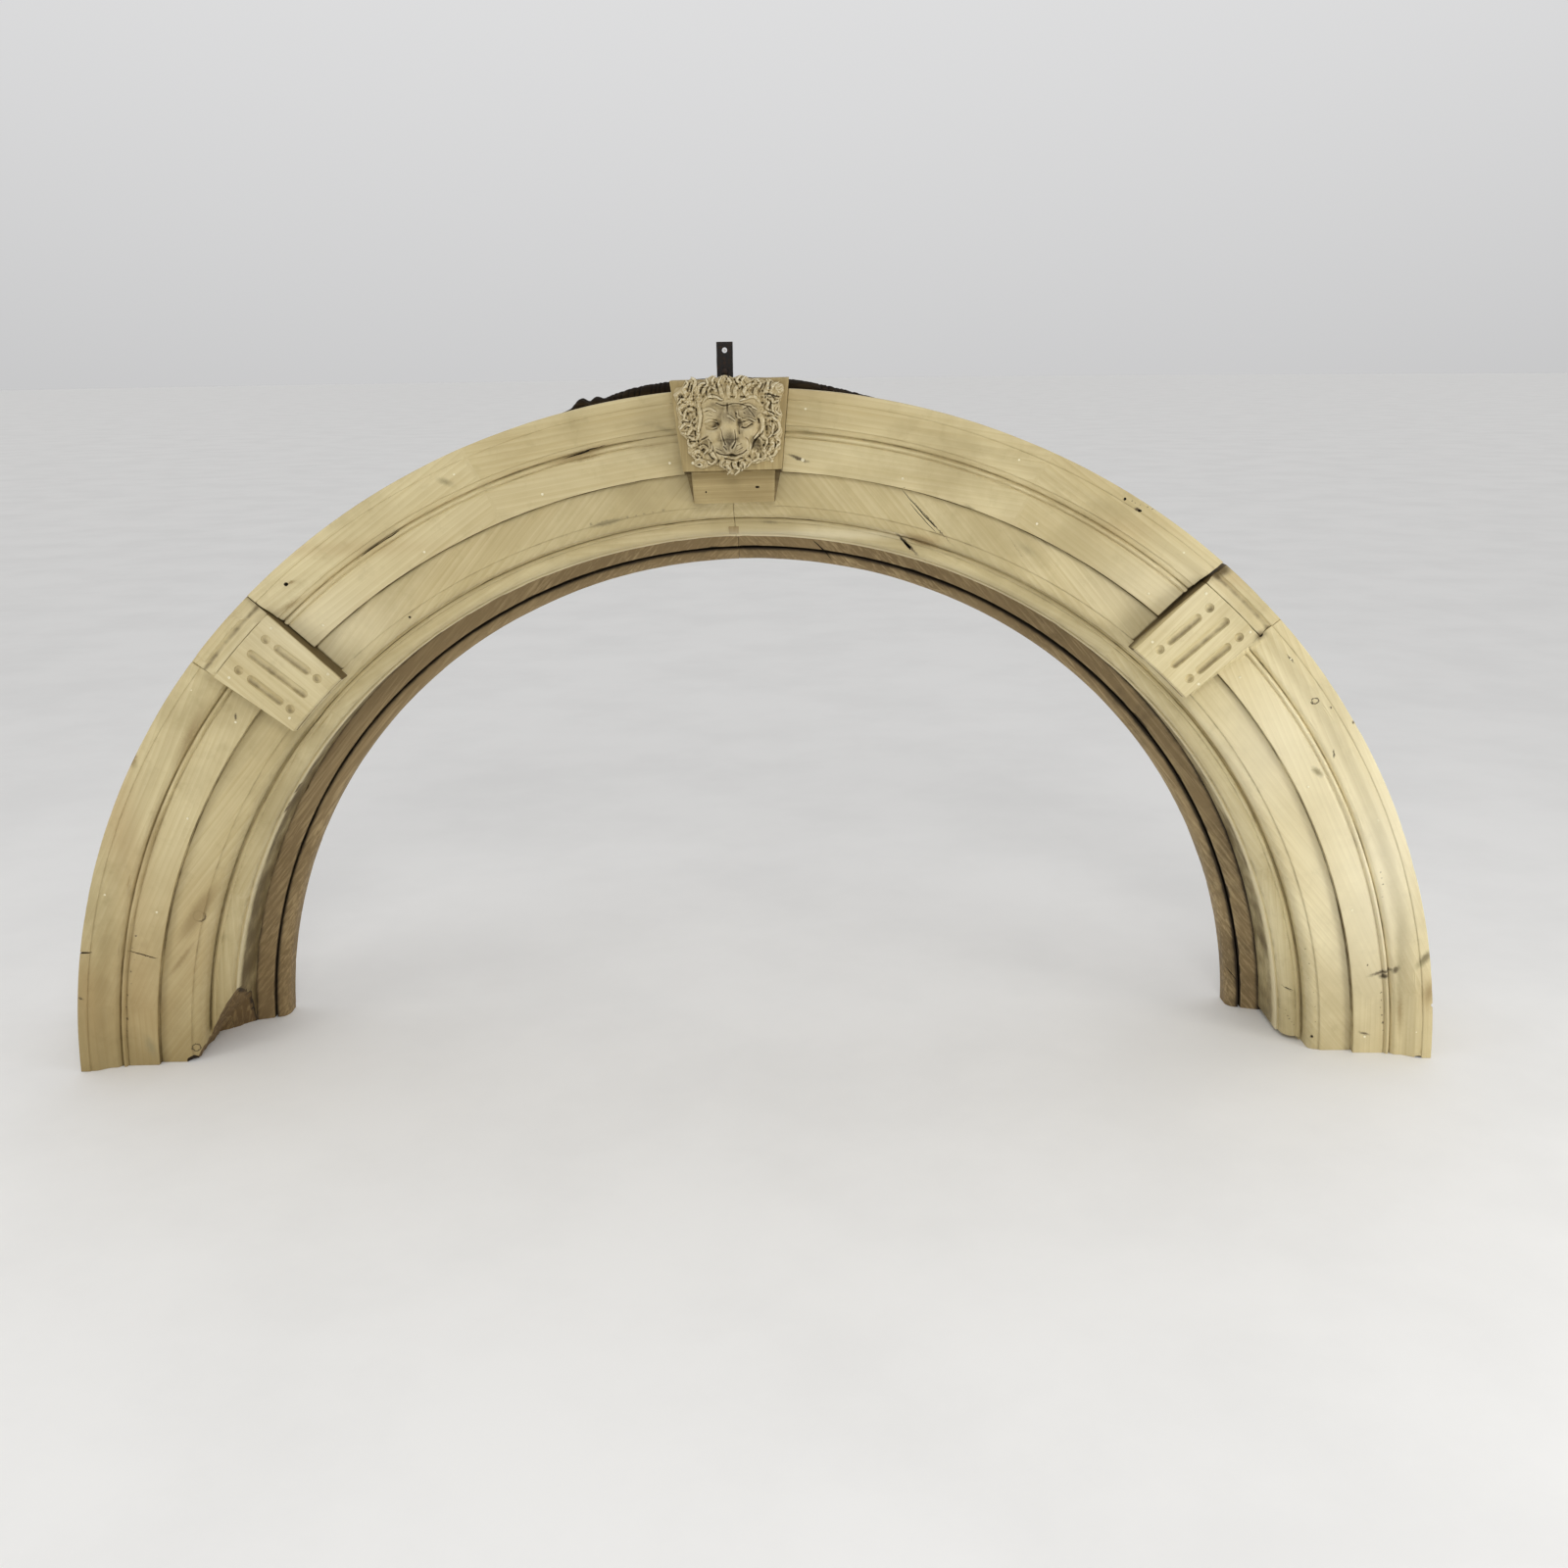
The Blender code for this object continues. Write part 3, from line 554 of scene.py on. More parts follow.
def mix_colour(tree, factor, first, second, blend="MIX"):
    """A colour between two; each may be a socket or a plain colour."""
    first, second = ((*value, 1.0) if isinstance(value, tuple) else value for value in (first, second))
    inputs = {0: factor, 6: first, 7: second}
    return node(tree, "ShaderNodeMix", inputs, data_type="RGBA", blend_type=blend).outputs[2]


def maths(tree, operation, first, second=None, clamp=False):
    inputs = {0: first, 1: second}
    return node(tree, "ShaderNodeMath", inputs, operation=operation, use_clamp=clamp).outputs[0]


def weighted(tree, *parts, clamp=False):
    """The sum of several sockets, each times its weight."""
    products = [maths(tree, "MULTIPLY", source, weight) for source, weight in parts]
    total = products[0]
    for number, product in enumerate(products[1:], 2):
        total = maths(tree, "ADD", total, product, clamp and number == len(products))
    return total


def ramp(tree, source, low, high):
    """0 below low, 1 above high, smooth between."""
    inputs = {0: source, 1: low, 2: high}
    return node(tree, "ShaderNodeMapRange", inputs, interpolation_type="SMOOTHSTEP").outputs[0]


def stretched_noise(tree, vector, stretch, scale, detail=3.0, roughness=0.55, seed=0.0):
    """Noise on stretched coordinates."""
    start = (seed, seed * 1.7, seed * 0.6)
    mapping = node(tree, "ShaderNodeMapping", {"Vector": vector, "Scale": stretch, "Location": start})
    inputs = {"Vector": mapping.outputs[0], "Scale": scale, "Detail": detail, "Roughness": roughness}
    return node(tree, "ShaderNodeTexNoise", inputs).outputs["Fac"]


def attribute(tree, name, output="Fac"):
    return node(tree, "ShaderNodeAttribute", attribute_type="GEOMETRY", attribute_name=name).outputs[output]


def surface(tree, shader, source, roughness, height, strength, distance):
    """Roughness between two values by a source, and a bump from a height."""
    gloss = node(tree, "ShaderNodeMapRange", {0: source, 3: roughness[0], 4: roughness[1]})
    bump = node(tree, "ShaderNodeBump", {"Strength": strength, "Distance": distance, "Height": height})
    feed(shader, {"Roughness": gloss.outputs[0], "Normal": bump.outputs[0]})


# Colour of each kind of mark
MARK_COLOURS = {"grime": (0.075, 0.052, 0.026), "brown": (0.32, 0.235, 0.105), "grey": (0.27, 0.225, 0.115)}


def mark_shape(tree, place, mark):
    """One small mark: 1 in its middle, 0 outside a thin ellipse from one pixel to another."""
    start, end, half, strength = mark
    near = seen(start)
    far = seen(end)
    run = far - near
    inputs = {
        "Vector": place,
        "Location": (near + far) / 2.0,
        "Rotation": (0.0, -math.atan2(run.z, run.x), 0.0),
        "Scale": (half + math.hypot(run.x, run.z) / 2.0, 1.0, half),
    }
    local = node(tree, "ShaderNodeMapping", inputs, vector_type="TEXTURE").outputs[0]
    shape = node(tree, "ShaderNodeTexGradient", {"Vector": local}, gradient_type="SPHERICAL")
    return maths(tree, "MULTIPLY", shape.outputs["Fac"], strength)


def ring_of(tree, shape):
    """A thin ring near the rim of a mark."""
    ring = node(tree, "ShaderNodeMath", {0: shape, 1: 0.24, 2: 0.12}, operation="COMPARE")
    return maths(tree, "MULTIPLY", ring.outputs[0], 0.7)


def shaken(tree, place, reach, scale):
    """Places moved a little by noise, for ragged edges."""
    inputs = {"Vector": place, "Scale": scale, "Detail": 4.0, "Roughness": 0.7}
    shake = node(tree, "ShaderNodeTexNoise", inputs).outputs["Color"]
    inputs = {0: shake, 1: (2.0 * reach, 0.0, 2.0 * reach), 2: place}
    shift = node(tree, "ShaderNodeVectorMath", inputs, operation="MULTIPLY_ADD").outputs[0]
    inputs = {0: shift, 1: (reach, 0.0, reach)}
    return node(tree, "ShaderNodeVectorMath", inputs, operation="SUBTRACT").outputs[0]


def add_marks(tree, place, colour, marks):
    """Small dark, brown and grey marks with ragged edges, laid over a colour."""
    ragged = shaken(tree, place, 0.0035, 260.0)
    for kind, tint in MARK_COLOURS.items():
        total = None
        for mark in marks:
            if mark[0] not in (kind, kind + " ring"):
                continue
            shape = mark_shape(tree, ragged, mark[1:])
            if mark[0] != kind:
                shape = ring_of(tree, shape)
            total = shape if total is None else maths(tree, "MAXIMUM", total, shape)
        if total is not None:
            cover = maths(tree, "MULTIPLY", ramp(tree, total, 0.0, 0.7), 0.92)
            colour = mix_colour(tree, cover, colour, tint)
    return colour


def wood_material(name, colours, figure=0.45, streak=0.5, board=0.0, roughness=(0.48, 0.68), relief=0.35,
                  mottle=0.55, ring_scale=34.0, seed=0.0, marks=(), shine=0.32):
    """Wood that reads its grain, stains and painted shade from the mesh; colours are light, dark, patina and
    grime, the grime colour serving for painted shade as well.
    """
    light, dark, patina, grime = colours
    made, tree, shader, place = new_material(name)
    grain = attribute(tree, "grain", "Vector")

    # Growth rings, long and wandering
    long_grain = node(tree, "ShaderNodeMapping", {"Vector": grain, "Scale": (0.10, 1.0, 0.7)}).outputs[0]
    inputs = {"Vector": long_grain, "Scale": ring_scale, "Distortion": 7.0, "Detail": 3.0,
              "Detail Scale": 0.35, "Phase Offset": seed}
    rings = node(tree, "ShaderNodeTexWave", inputs, wave_type="BANDS", bands_direction="Y",
                 wave_profile="SAW")

    lines = stretched_noise(tree, grain, (7.0, 240.0, 240.0), 1.0, 5.0, 0.62, seed)
    fibre = stretched_noise(tree, grain, (45.0, 1500.0, 1500.0), 1.0, 2.0, 0.5, seed + 3.0)
    wide = stretched_noise(tree, grain, (1.6, 22.0, 22.0), 1.0, 3.0, 0.5, seed + 7.0)
    shade = weighted(tree, (rings.outputs["Fac"], figure), (ramp(tree, lines, 0.30, 0.72), streak),
                     (ramp(tree, wide, 0.35, 0.68), 0.40), clamp=True)
    colour = mix_colour(tree, shade, light, dark)
    if board:
        across = node(tree, "ShaderNodeSeparateXYZ", {0: grain}).outputs[1]
        plank = maths(tree, "FLOOR", maths(tree, "DIVIDE", across, board))
        pick = node(tree, "ShaderNodeTexWhiteNoise", {"W": plank}, noise_dimensions="1D")
        colour = mix_colour(tree, maths(tree, "MULTIPLY", pick.outputs["Value"], 0.30), colour, patina)

    # Patina in broad clouds, then finer blotches
    cloud = stretched_noise(tree, place, (1.0, 1.0, 1.0), 5.5, 5.0, 0.6, seed + 11.0)
    blotch = stretched_noise(tree, place, (1.0, 1.0, 1.0), 34.0, 5.0, 0.66, seed + 19.0)
    cover = weighted(tree, (ramp(tree, cloud, 0.44, 0.66), mottle), (ramp(tree, blotch, 0.52, 0.74), 0.28),
                     clamp=True)
    colour = mix_colour(tree, cover, colour, patina)
    # Broad darkening: weathering, and painted shade for light falling from the right
    colour = mix_colour(tree, attribute(tree, "aged_and_shaded"), colour, (0.50, 0.435, 0.33), "MULTIPLY")
    colour = mix_colour(tree, attribute(tree, "pale"), colour, (0.86, 0.79, 0.58))
    colour = mix_colour(tree, attribute(tree, "warm"), colour, (0.40, 0.27, 0.115))
    # Darkening towards the grime colour: real grime, and painted shade in hollows, gaps, recesses and
    # undersides
    grime_and_shade = attribute(tree, "grime_and_shade")
    broken = maths(tree, "ADD", grime_and_shade, maths(tree, "MULTIPLY", maths(tree, "SUBTRACT", blotch, 0.5), 0.9))
    broken = maths(tree, "MULTIPLY", ramp(tree, broken, 0.12, 0.85), maths(tree, "POWER", grime_and_shade, 0.35))
    colour = mix_colour(tree, broken, colour, grime)
    if marks:
        colour = add_marks(tree, place, colour, marks)
    feed(shader, {"Base Color": colour, "Specular IOR Level": shine})
    height = weighted(tree, (lines, 0.7), (fibre, 0.5), (blotch, 0.35))
    surface(tree, shader, lines, roughness, height, relief, 0.0008)
    return made


def dots(kind, low, high, count, half, strength, seed):
    """A row of specks that wanders between two pixels."""
    found = []
    for number in range(count):
        share = (number + 0.5) / count
        aside = 2.2 * line_noise(number * 1.9, 1.0, seed)
        size = half * (1.0 + 0.5 * line_noise(number * 2.7, 1.0, seed + 1))
        place = (between((low[0], high[0]), share) + aside, between((low[1], high[1]), share))
        found.append((kind, place, place, size, strength))
    return found


# Marks read off the photograph: kind, from pixel, to pixel, half width in metres, strength
CROWN_MARKS = [
    # Painted shadow and a dark streak beside the keystone plate
    ("grime", (802, 463), (827, 472.3), 0.0034, 0.9),
    ("grey", (447, 489), (462, 494.5), 0.0080, 0.55),
    ("grime", (1147.6, 509.9), (1147.6, 509.9), 0.0022, 1.0),
    ("grime", (1159, 519), (1162, 520.5), 0.0034, 1.0),
    ("grime", (858, 488), (868, 489.6), 0.0014, 0.8),
    ("grime", (880, 491), (886, 492), 0.0016, 0.8),
    ("grime", (905, 496), (916, 498.5), 0.0018, 0.8),
    ("grey", (983, 515), (995, 521), 0.0050, 0.6),
    ("brown", (312, 607), (276, 630), 0.0080, 0.55),
    ("brown", (556, 476), (631, 451), 0.0085, 0.85),
    ("brown", (575, 473), (622, 462), 0.0050, 0.7),
    ("grime", (572, 470), (615, 456), 0.0034, 0.62),
    ("brown", (213, 709), (176, 788), 0.0150, 0.62),
    ("brown", (172, 795), (142, 905), 0.0140, 0.50),
    ("brown", (136, 930), (128, 1010), 0.0120, 0.40),
    ("grime", (240.6, 728), (240.6, 735), 0.0024, 0.9),
    ("grime", (1312, 667), (1321, 677), 0.0022, 0.8),
    ("grime", (1386, 1053), (1398, 1056), 0.0034, 0.7),
    ("grime", (1380.8, 736), (1380.8, 738), 0.0030, 1.0),
    ("grime", (1358.4, 722.3), (1358.4, 722.3), 0.0026, 1.0),
    ("grime", (1361, 765), (1361.5, 774), 0.0018, 0.9),
    ("grey", (1340, 784), (1348, 791), 0.0075, 0.75),
    ("brown", (292, 596), (301, 592.5), 0.0028, 0.9),
    ("grime ring", (1341.9, 715.3), (1341.9, 715.3), 0.0062, 1.0),
    ("grime", (133.5, 970.7), (162.2, 979.2), 0.0013, 0.9),
    ("grime", (80, 1018), (85, 1020), 0.0026, 0.8),
    ("grey", (150, 1058), (158, 1078), 0.0120, 0.60),
    ("brown", (134, 784), (139, 765), 0.0050, 0.9),
    ("grey", (1446, 987), (1462, 969), 0.0105, 0.75),
    ("grime", (1451, 981), (1457, 974), 0.0056, 0.9),
    ("grime", (1394, 997), (1428, 988), 0.0044, 0.75),
    ("grime", (1409, 996), (1414, 995), 0.0064, 0.9),
    ("grime", (1423, 991), (1426, 988), 0.0066, 0.9),
    ("grime", (1395.6, 984.8), (1395.6, 984.8), 0.0022, 1.0),
    ("brown", (1460, 1002), (1456, 1024), 0.0150, 0.60),
    ("grime", (1462, 1026), (1463, 1027), 0.0034, 1.0),
    ("brown", (1428.6, 1002), (1428.6, 1062), 0.0075, 0.60),
    ("grey", (1429, 925), (1429, 1062), 0.0130, 0.40),
    # Painted shade in the gap beside the right block's upper side
    ("grey", (1250, 577), (1262, 590), 0.0075, 0.55),
    ("brown", (640, 460), (690, 450), 0.0090, 0.40),
    # Painted shade and grime on both sides of the keystone plate
    ("grey", (668, 436), (690, 441), 0.0070, 0.50),
    ("grey", (806, 437), (840, 444), 0.0070, 0.40),
]
CROWN_MARKS += dots("grime", (1410, 1009), (1410, 1055), 6, 0.0018, 0.8, 601)
CROWN_MARKS += dots("grime", (1411, 887), (1411, 918), 5, 0.0015, 0.7, 611)
CROWN_MARKS += dots("grime", (139, 949), (128, 1058), 9, 0.0018, 0.8, 621)
CROWN_MARKS += dots("grime", (1145, 508), (1184, 523), 7, 0.0013, 0.8, 631)
CROWN_MARKS += dots("grime", (840, 486), (930, 499), 6, 0.0011, 0.7, 641)
BOARD_MARKS = [
    ("grey", (600, 538.5), (640, 528), 0.0052, 1.0),
    ("grime", (606, 536.5), (618, 532.5), 0.0022, 0.55),
    ("grime", (418.6, 630), (418.6, 630), 0.0026, 1.0),
    ("grime", (445.6, 631.7), (445.6, 631.7), 0.0020, 1.0),
    ("grime", (1360, 894), (1388.6, 923), 0.0014, 0.8),
    ("grime", (1364, 892), (1386, 914), 0.0011, 0.6),
    ("grime", (1337.9, 1056.9), (1337.9, 1056.9), 0.0030, 1.0),
    ("brown", (700, 555), (720, 552), 0.0060, 0.40),
    ("grey", (1035, 552), (1062, 570), 0.0100, 0.40),
    ("grime", (1020.8, 535), (1055, 586), 0.0009, 0.35),
    ("brown", (182, 962), (224, 900), 0.0170, 0.95),
    ("brown", (170, 1000), (200, 960), 0.0060, 0.80),
    ("grime ring", (203, 935), (203, 935), 0.0120, 1.0),
    ("brown", (203, 935), (203, 935), 0.0110, 1.0),
    ("grime ring", (200.5, 1068.7), (200.5, 1068.7), 0.0080, 1.0),
    ("grey", (154, 1060), (156, 1078), 0.0110, 0.5),
]
BOARD_MARKS += dots("grey", (600, 536), (680, 520), 9, 0.0024, 0.8, 651)
BOARD_MARKS += dots("grime", (1330, 960), (1345, 1050), 6, 0.0013, 0.6, 661)
INNER_MARKS = [
    ("brown", (924, 545), (956, 557), 0.0090, 0.95),
    ("grey", (775, 532), (796, 534), 0.0044, 0.6),
    ("grey", (672, 524), (680, 518), 0.0040, 0.6),
    ("grime", (1304.3, 1001.4), (1319, 1012.5), 0.0013, 0.8),
]
INNER_MARKS += dots("grime", (1304, 1022), (1320, 1048), 8, 0.0014, 0.6, 671)
TORN = [("brown", (922, 545), (958, 558), 0.0100, 1.0), ("grime", (912.7, 542.0), (938, 568), 0.0034, 1.0)]
INNER_MARKS += TORN
BOARD_MARKS += TORN + [("grime", (920, 499), (977, 562), 0.0013, 0.9)]

# Colours of the kinds of wood: light, dark, patina and grime, the grime also standing for painted shade
PINE = ((0.80, 0.71, 0.435), (0.62, 0.515, 0.270), (0.48, 0.40, 0.205), (0.105, 0.070, 0.024))
KEY_PINE = ((0.60, 0.49, 0.25), (0.43, 0.335, 0.155), (0.37, 0.285, 0.13), (0.105, 0.070, 0.024))
CARVED_PINE = ((0.72, 0.61, 0.36), (0.55, 0.445, 0.225), (0.36, 0.28, 0.13), (0.050, 0.034, 0.015))
PATCH_PINE = ((0.52, 0.42, 0.22), (0.42, 0.31, 0.14), (0.33, 0.25, 0.12), (0.105, 0.070, 0.024))
RAW_WOOD = ((0.62, 0.48, 0.26), (0.29, 0.21, 0.105), (0.36, 0.265, 0.135), (0.030, 0.020, 0.010))
TORN_WOOD = ((0.56, 0.43, 0.23), (0.22, 0.15, 0.070), (0.36, 0.26, 0.135), (0.03, 0.02, 0.01))
# Near-black cut faces of cracks and chips: painted shade inside them
CRACK_SHADE = ((0.055, 0.036, 0.018), (0.030, 0.020, 0.010), (0.02, 0.013, 0.008), (0.01, 0.007, 0.004))
DARK_WOOD = ((0.046, 0.030, 0.014), (0.016, 0.010, 0.005), (0.012, 0.008, 0.004), (0.004, 0.003, 0.002))

# Wood finishes: name of the material, its colours and where it differs from the defaults
WOODS = {
    "crown": ("pine_crown", PINE, dict(figure=0.34, streak=0.30, marks=CROWN_MARKS)),
    "fascia": ("pine_boards", PINE, dict(
        figure=0.36, streak=0.40, board=0.092, seed=4.0, marks=BOARD_MARKS)),
    "inner": ("pine_inner", PINE, dict(figure=0.28, streak=0.3, mottle=0.5, seed=9.0, marks=INNER_MARKS)),
    "block": ("pine_block", PINE, dict(figure=0.26, streak=0.38, seed=13.0)),
    "key": ("pine_keystone", KEY_PINE, dict(figure=0.40, streak=0.55, seed=17.0)),
    "lion": ("pine_carved", CARVED_PINE, dict(
        figure=0.16, streak=0.3, mottle=0.5, ring_scale=60.0, seed=21.0)),
    "raw": ("raw_brown_wood", RAW_WOOD, dict(
        streak=1.0, board=0.11, roughness=(0.55, 0.85), relief=0.8, seed=25.0)),
    "torn": ("torn_wood", TORN_WOOD, dict(
        figure=0.6, streak=1.0, roughness=(0.7, 0.9), relief=1.0, seed=29.0)),
    "crack": ("crack_painted_shade", CRACK_SHADE, dict(roughness=(0.85, 0.95), seed=31.0)),
    "crest": ("dark_carving", DARK_WOOD, dict(
        figure=0.5, streak=0.7, roughness=(0.7, 0.9), relief=0.7, seed=37.0, shine=0.05)),
    "patch": ("pine_patch", PATCH_PINE, dict(seed=41.0)),
}
# Metal finishes: name of the material, colour, colour of the rust or dirt, roughness and metallic
METALS = {
    "iron": ("black_iron", (0.030, 0.028, 0.027), (0.060, 0.036, 0.024), (0.42, 0.72), 0.75),
    "bright": ("bright_steel", (0.86, 0.84, 0.79), (0.42, 0.38, 0.31), (0.22, 0.5), 0.8),
    "nail": ("pale_filled_nail", (0.84, 0.78, 0.56), (0.62, 0.54, 0.34), (0.30, 0.5), 0.0),
}


def metal_material(name, colour, rust, roughness, metallic):
    made, tree, shader, place = new_material(name)
    rusted = stretched_noise(tree, place, (1.0, 1.0, 1.0), 180.0, 6.0, 0.7)
    feed(shader, {"Base Color": mix_colour(tree, ramp(tree, rusted, 0.45, 0.7), colour, rust),
                  "Metallic": metallic})
    surface(tree, shader, rusted, roughness, rusted, 0.6, 0.0006)
    return made


def make_materials():
    found = {key: wood_material(name, colours, **figure) for key, (name, colours, figure) in WOODS.items()}
    found.update({key: metal_material(*row) for key, row in METALS.items()})
    return found


# Grain frames

def laid_grain(along, across, shift):
    """Grain that runs straight; along and across are directions in the plane of the face."""
    along = np.array(along)
    across = np.array(across)

    def grain(points):
        return np.column_stack((points @ along + shift, points @ across + shift, points[:, 1]))
    return grain


def straight_grain(direction, seed=0):
    """A board whose fibres run straight, along the tangent at this direction."""
    turn = math.radians(direction)
    outward = (math.cos(turn), 0.0, math.sin(turn))
    return laid_grain((-outward[2], 0.0, outward[0]), outward, seed * 1.37)


def diagonal_grain(slope, seed):
    """Boards laid slanting across the ring; slope is their direction in degrees from level."""
    turn = math.radians(slope)
    along = (math.cos(turn), 0.0, math.sin(turn))
    return laid_grain(along, (-along[2], 0.0, along[0]), seed)


def segment_grain(joints, seed=0):
    """Boards that follow the arch in straight lengths, parted at these angles."""
    def grain(points):
        angle = polar(points)[2]
        found = np.zeros((len(points), 3))
        for number, (low, high) in enumerate(zip(joints, joints[1:])):
            inside = (angle >= low) & (angle < high)
            found[inside] = straight_grain((low + high) / 2.0, seed + number)(points[inside])
        return found
    return grain


# Stains, dirt, painted shade and painted light read off the photograph: pixel, size in metres, strength
DIRT_AND_SHADE_SPOTS = (
    ((1409, 993), (0.022, 0.009), 0.22),
    ((203, 934), (0.014, 0.014), 0.16),
    ((1285, 647), (0.010, 0.010), 0.75),
    ((1278, 655), (0.016, 0.010), 0.30),
    # Painted shade and grime beside the keystone plate
    ((667, 433), (0.030, 0.008), 0.30),
    ((1050, 560), (0.030, 0.016), 0.20),
    ((135, 775), (0.008, 0.016), 0.5),
    ((131, 900), (0.006, 0.070), 0.25),
    # Painted shade in the gap beside the right block's upper side
    ((1250, 583), (0.012, 0.008), 0.45),
)
WARM_SPOTS = (
    ((1460, 1015), (0.020, 0.030), 0.35),
    ((945, 551), (0.022, 0.008), 0.5),
    ((1255, 590), (0.030, 0.016), 0.35),
    ((120, 830), (0.030, 0.20), 0.42),
    ((140, 1010), (0.050, 0.10), 0.40),
    ((200, 960), (0.055, 0.12), 0.32),
    ((1150, 540), (0.045, 0.020), 0.25),
    ((860, 400), (0.12, 0.012), 0.30),
    ((340, 560), (0.16, 0.012), 0.28),
    ((90, 1020), (0.02, 0.09), 0.35),
)
# Paler patches: bleached wood, and on the right leg partly painted light falling from the right
PALE_SPOTS = (
    ((1385, 880), (0.10, 0.22), 0.42),
    ((1300, 760), (0.10, 0.12), 0.38),
    ((1420, 900), (0.05, 0.20), 0.25),
    ((1180, 600), (0.10, 0.05), 0.25),
    ((330, 640), (0.12, 0.06), 0.22),
    ((860, 545), (0.22, 0.008), 0.35),
)

# How much the surface is darkened, by angle from the right foot: partly weathering, partly painted shade for
# light that falls from the right
AGED_AND_SHADED_ANGLES = (-4.0, 6.0, 16.0, 40.0, 60.0, 90.0, 120.0, 150.0, 165.0, 175.0, 184.0)
AGED_AND_SHADED_AMOUNTS = (0.55, 0.42, 0.05, 0.10, 0.34, 0.50, 0.36, 0.38, 0.50, 0.85, 0.95)

# Dark lines in the hollows of the mouldings, grime and painted shade: radius, half width, strength, least
# depth that they reach
HOLLOWS = (
    (1.0846, 0.0012, 0.30, 0.0),
    (1.0388, 0.0016, 0.62, 0.0),
    (1.0302, 0.0011, 0.36, 0.0),
    (0.9800, 0.0013, 0.95, 0.0236),
    (0.9290, 0.0013, 0.40, 0.0),
    (0.9114, 0.0010, 0.36, 0.0),
    (0.9082, 0.0010, 0.36, 0.0),
    (0.9013, 0.0012, 0.42, 0.0),
    (0.8812, 0.0011, 0.42, 0.0),
)
# Painted shade on the soffit, darker towards the left: how dark it is, by angle from the right foot
SOFFIT_ANGLES = (0.0, 60.0, 120.0, 180.0)
SOFFIT_SHADE = (0.66, 0.64, 0.72, 0.88)


def spots(points, rows):
    """The strength at each point of soft elliptical spots; size is (along x, along z)."""
    total = np.zeros(len(points))
    for pixel, size, strength in rows:
        centre = seen(pixel)
        reach = ((points[:, 0] - centre.x) / size[0]) ** 2 + ((points[:, 2] - centre.z) / size[1]) ** 2
        near = np.abs(points[:, 1] - centre.y) < 0.03
        total += strength * np.exp(-reach) * near
    return total


def ageing_and_light_falloff(points):
    """Broad darkening, partly weathering and partly painted shade for light that falls from the right: the
    right leg is bleached and lit most, the left foot least.
    """
    share = np.interp(polar(points)[2], AGED_AND_SHADED_ANGLES, AGED_AND_SHADED_AMOUNTS)
    return share + 0.16 * rough(points, 0.16, 501) + 0.10 * rough(points, 0.05, 502)


def line_at(values, middle, half):
    """1 at the middle and next to nothing beyond twice the half width."""
    return np.exp(-((values - middle) / half) ** 2)


def ring_grime_and_shade(points):
    """Grime and painted shade in the hollows of the mouldings, uneven along the arch; painted shadow beside
    the blocks' upper sides, painted shade on the soffit, and darkening towards the bottom of the feet.
    """
    radius, depth, angle = polar(points)
    uneven = np.clip(0.72 + 0.55 * rough(points, 0.060, 3), 0.1, 1.3)
    total = np.zeros(len(points))
    for middle, half, strength, least in HOLLOWS:
        total += strength * line_at(radius, middle, half) * (depth >= least)
    total *= uneven * (depth < 0.12)
    # Painted shade on the soffit
    soffit = (radius < 0.8800) & (depth > SOFFIT_FRONT_DEPTH + 0.0015)
    total += soffit * np.interp(angle, SOFFIT_ANGLES, SOFFIT_SHADE) * (0.9 + 0.4 * rough(points, 0.03, 4))
    # Painted shadow in the gap beside each block's upper side
    for block in BLOCKS.values():
        gap = beside_block(radius, angle, block, True)
        reach = (radius > OVOLO_OUTER_RADIUS) & (radius < OUTER_RADIUS + 0.01)
        total += 0.85 * line_at(gap, 0.0, 0.0032) * reach
    # Darker towards the bottom of the feet
    foot = np.exp(-np.clip(points[:, 2], 0.0, 1.0) / 0.010) * 0.22
    return total + foot * np.clip(0.4 + rough(points, 0.02, 8), 0.0, 1.0)


def beside_block(radius, angle, block, above):
    """How far a place lies past a block's upper or lower side, in metres along the arch."""
    direction, first_side, last_side = block[:3]
    forward = (direction < AXIS) == above
    edge = block_side(direction, last_side if forward else first_side, radius)
    away = np.radians(angle - edge) * radius
    return away if forward else -away


def paint(piece, grain, grime_and_shade=None, pale=None):
    """Writes the grain frame, the stains and the painted shade and light of a finished mesh as point
    attributes.
    """
    mesh = piece.data
    points = read_points(mesh)
    made = mesh.attributes.new("grain", "FLOAT_VECTOR", "POINT")
    made.data.foreach_set("vector", grain(points).astype(np.float32).ravel())
    values = {
        "grime_and_shade": spots(points, DIRT_AND_SHADE_SPOTS) + (grime_and_shade(points) if grime_and_shade else 0.0),
        "warm": spots(points, WARM_SPOTS),
        "pale": spots(points, PALE_SPOTS) + (pale(points) if pale else 0.0),
        "aged_and_shaded": ageing_and_light_falloff(points),
    }
    for name, value in values.items():
        made = mesh.attributes.new(name, "FLOAT", "POINT")
        made.data.foreach_set("value", np.clip(value, 0.0, 1.0).astype(np.float32))


def settle(piece, slot, *nodes):
    """The piece stands for these nodes, which are hidden, and hangs under the root; the slot is not used."""
    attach(piece, "root")
    if nodes:
        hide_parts(*nodes)


# Cutting

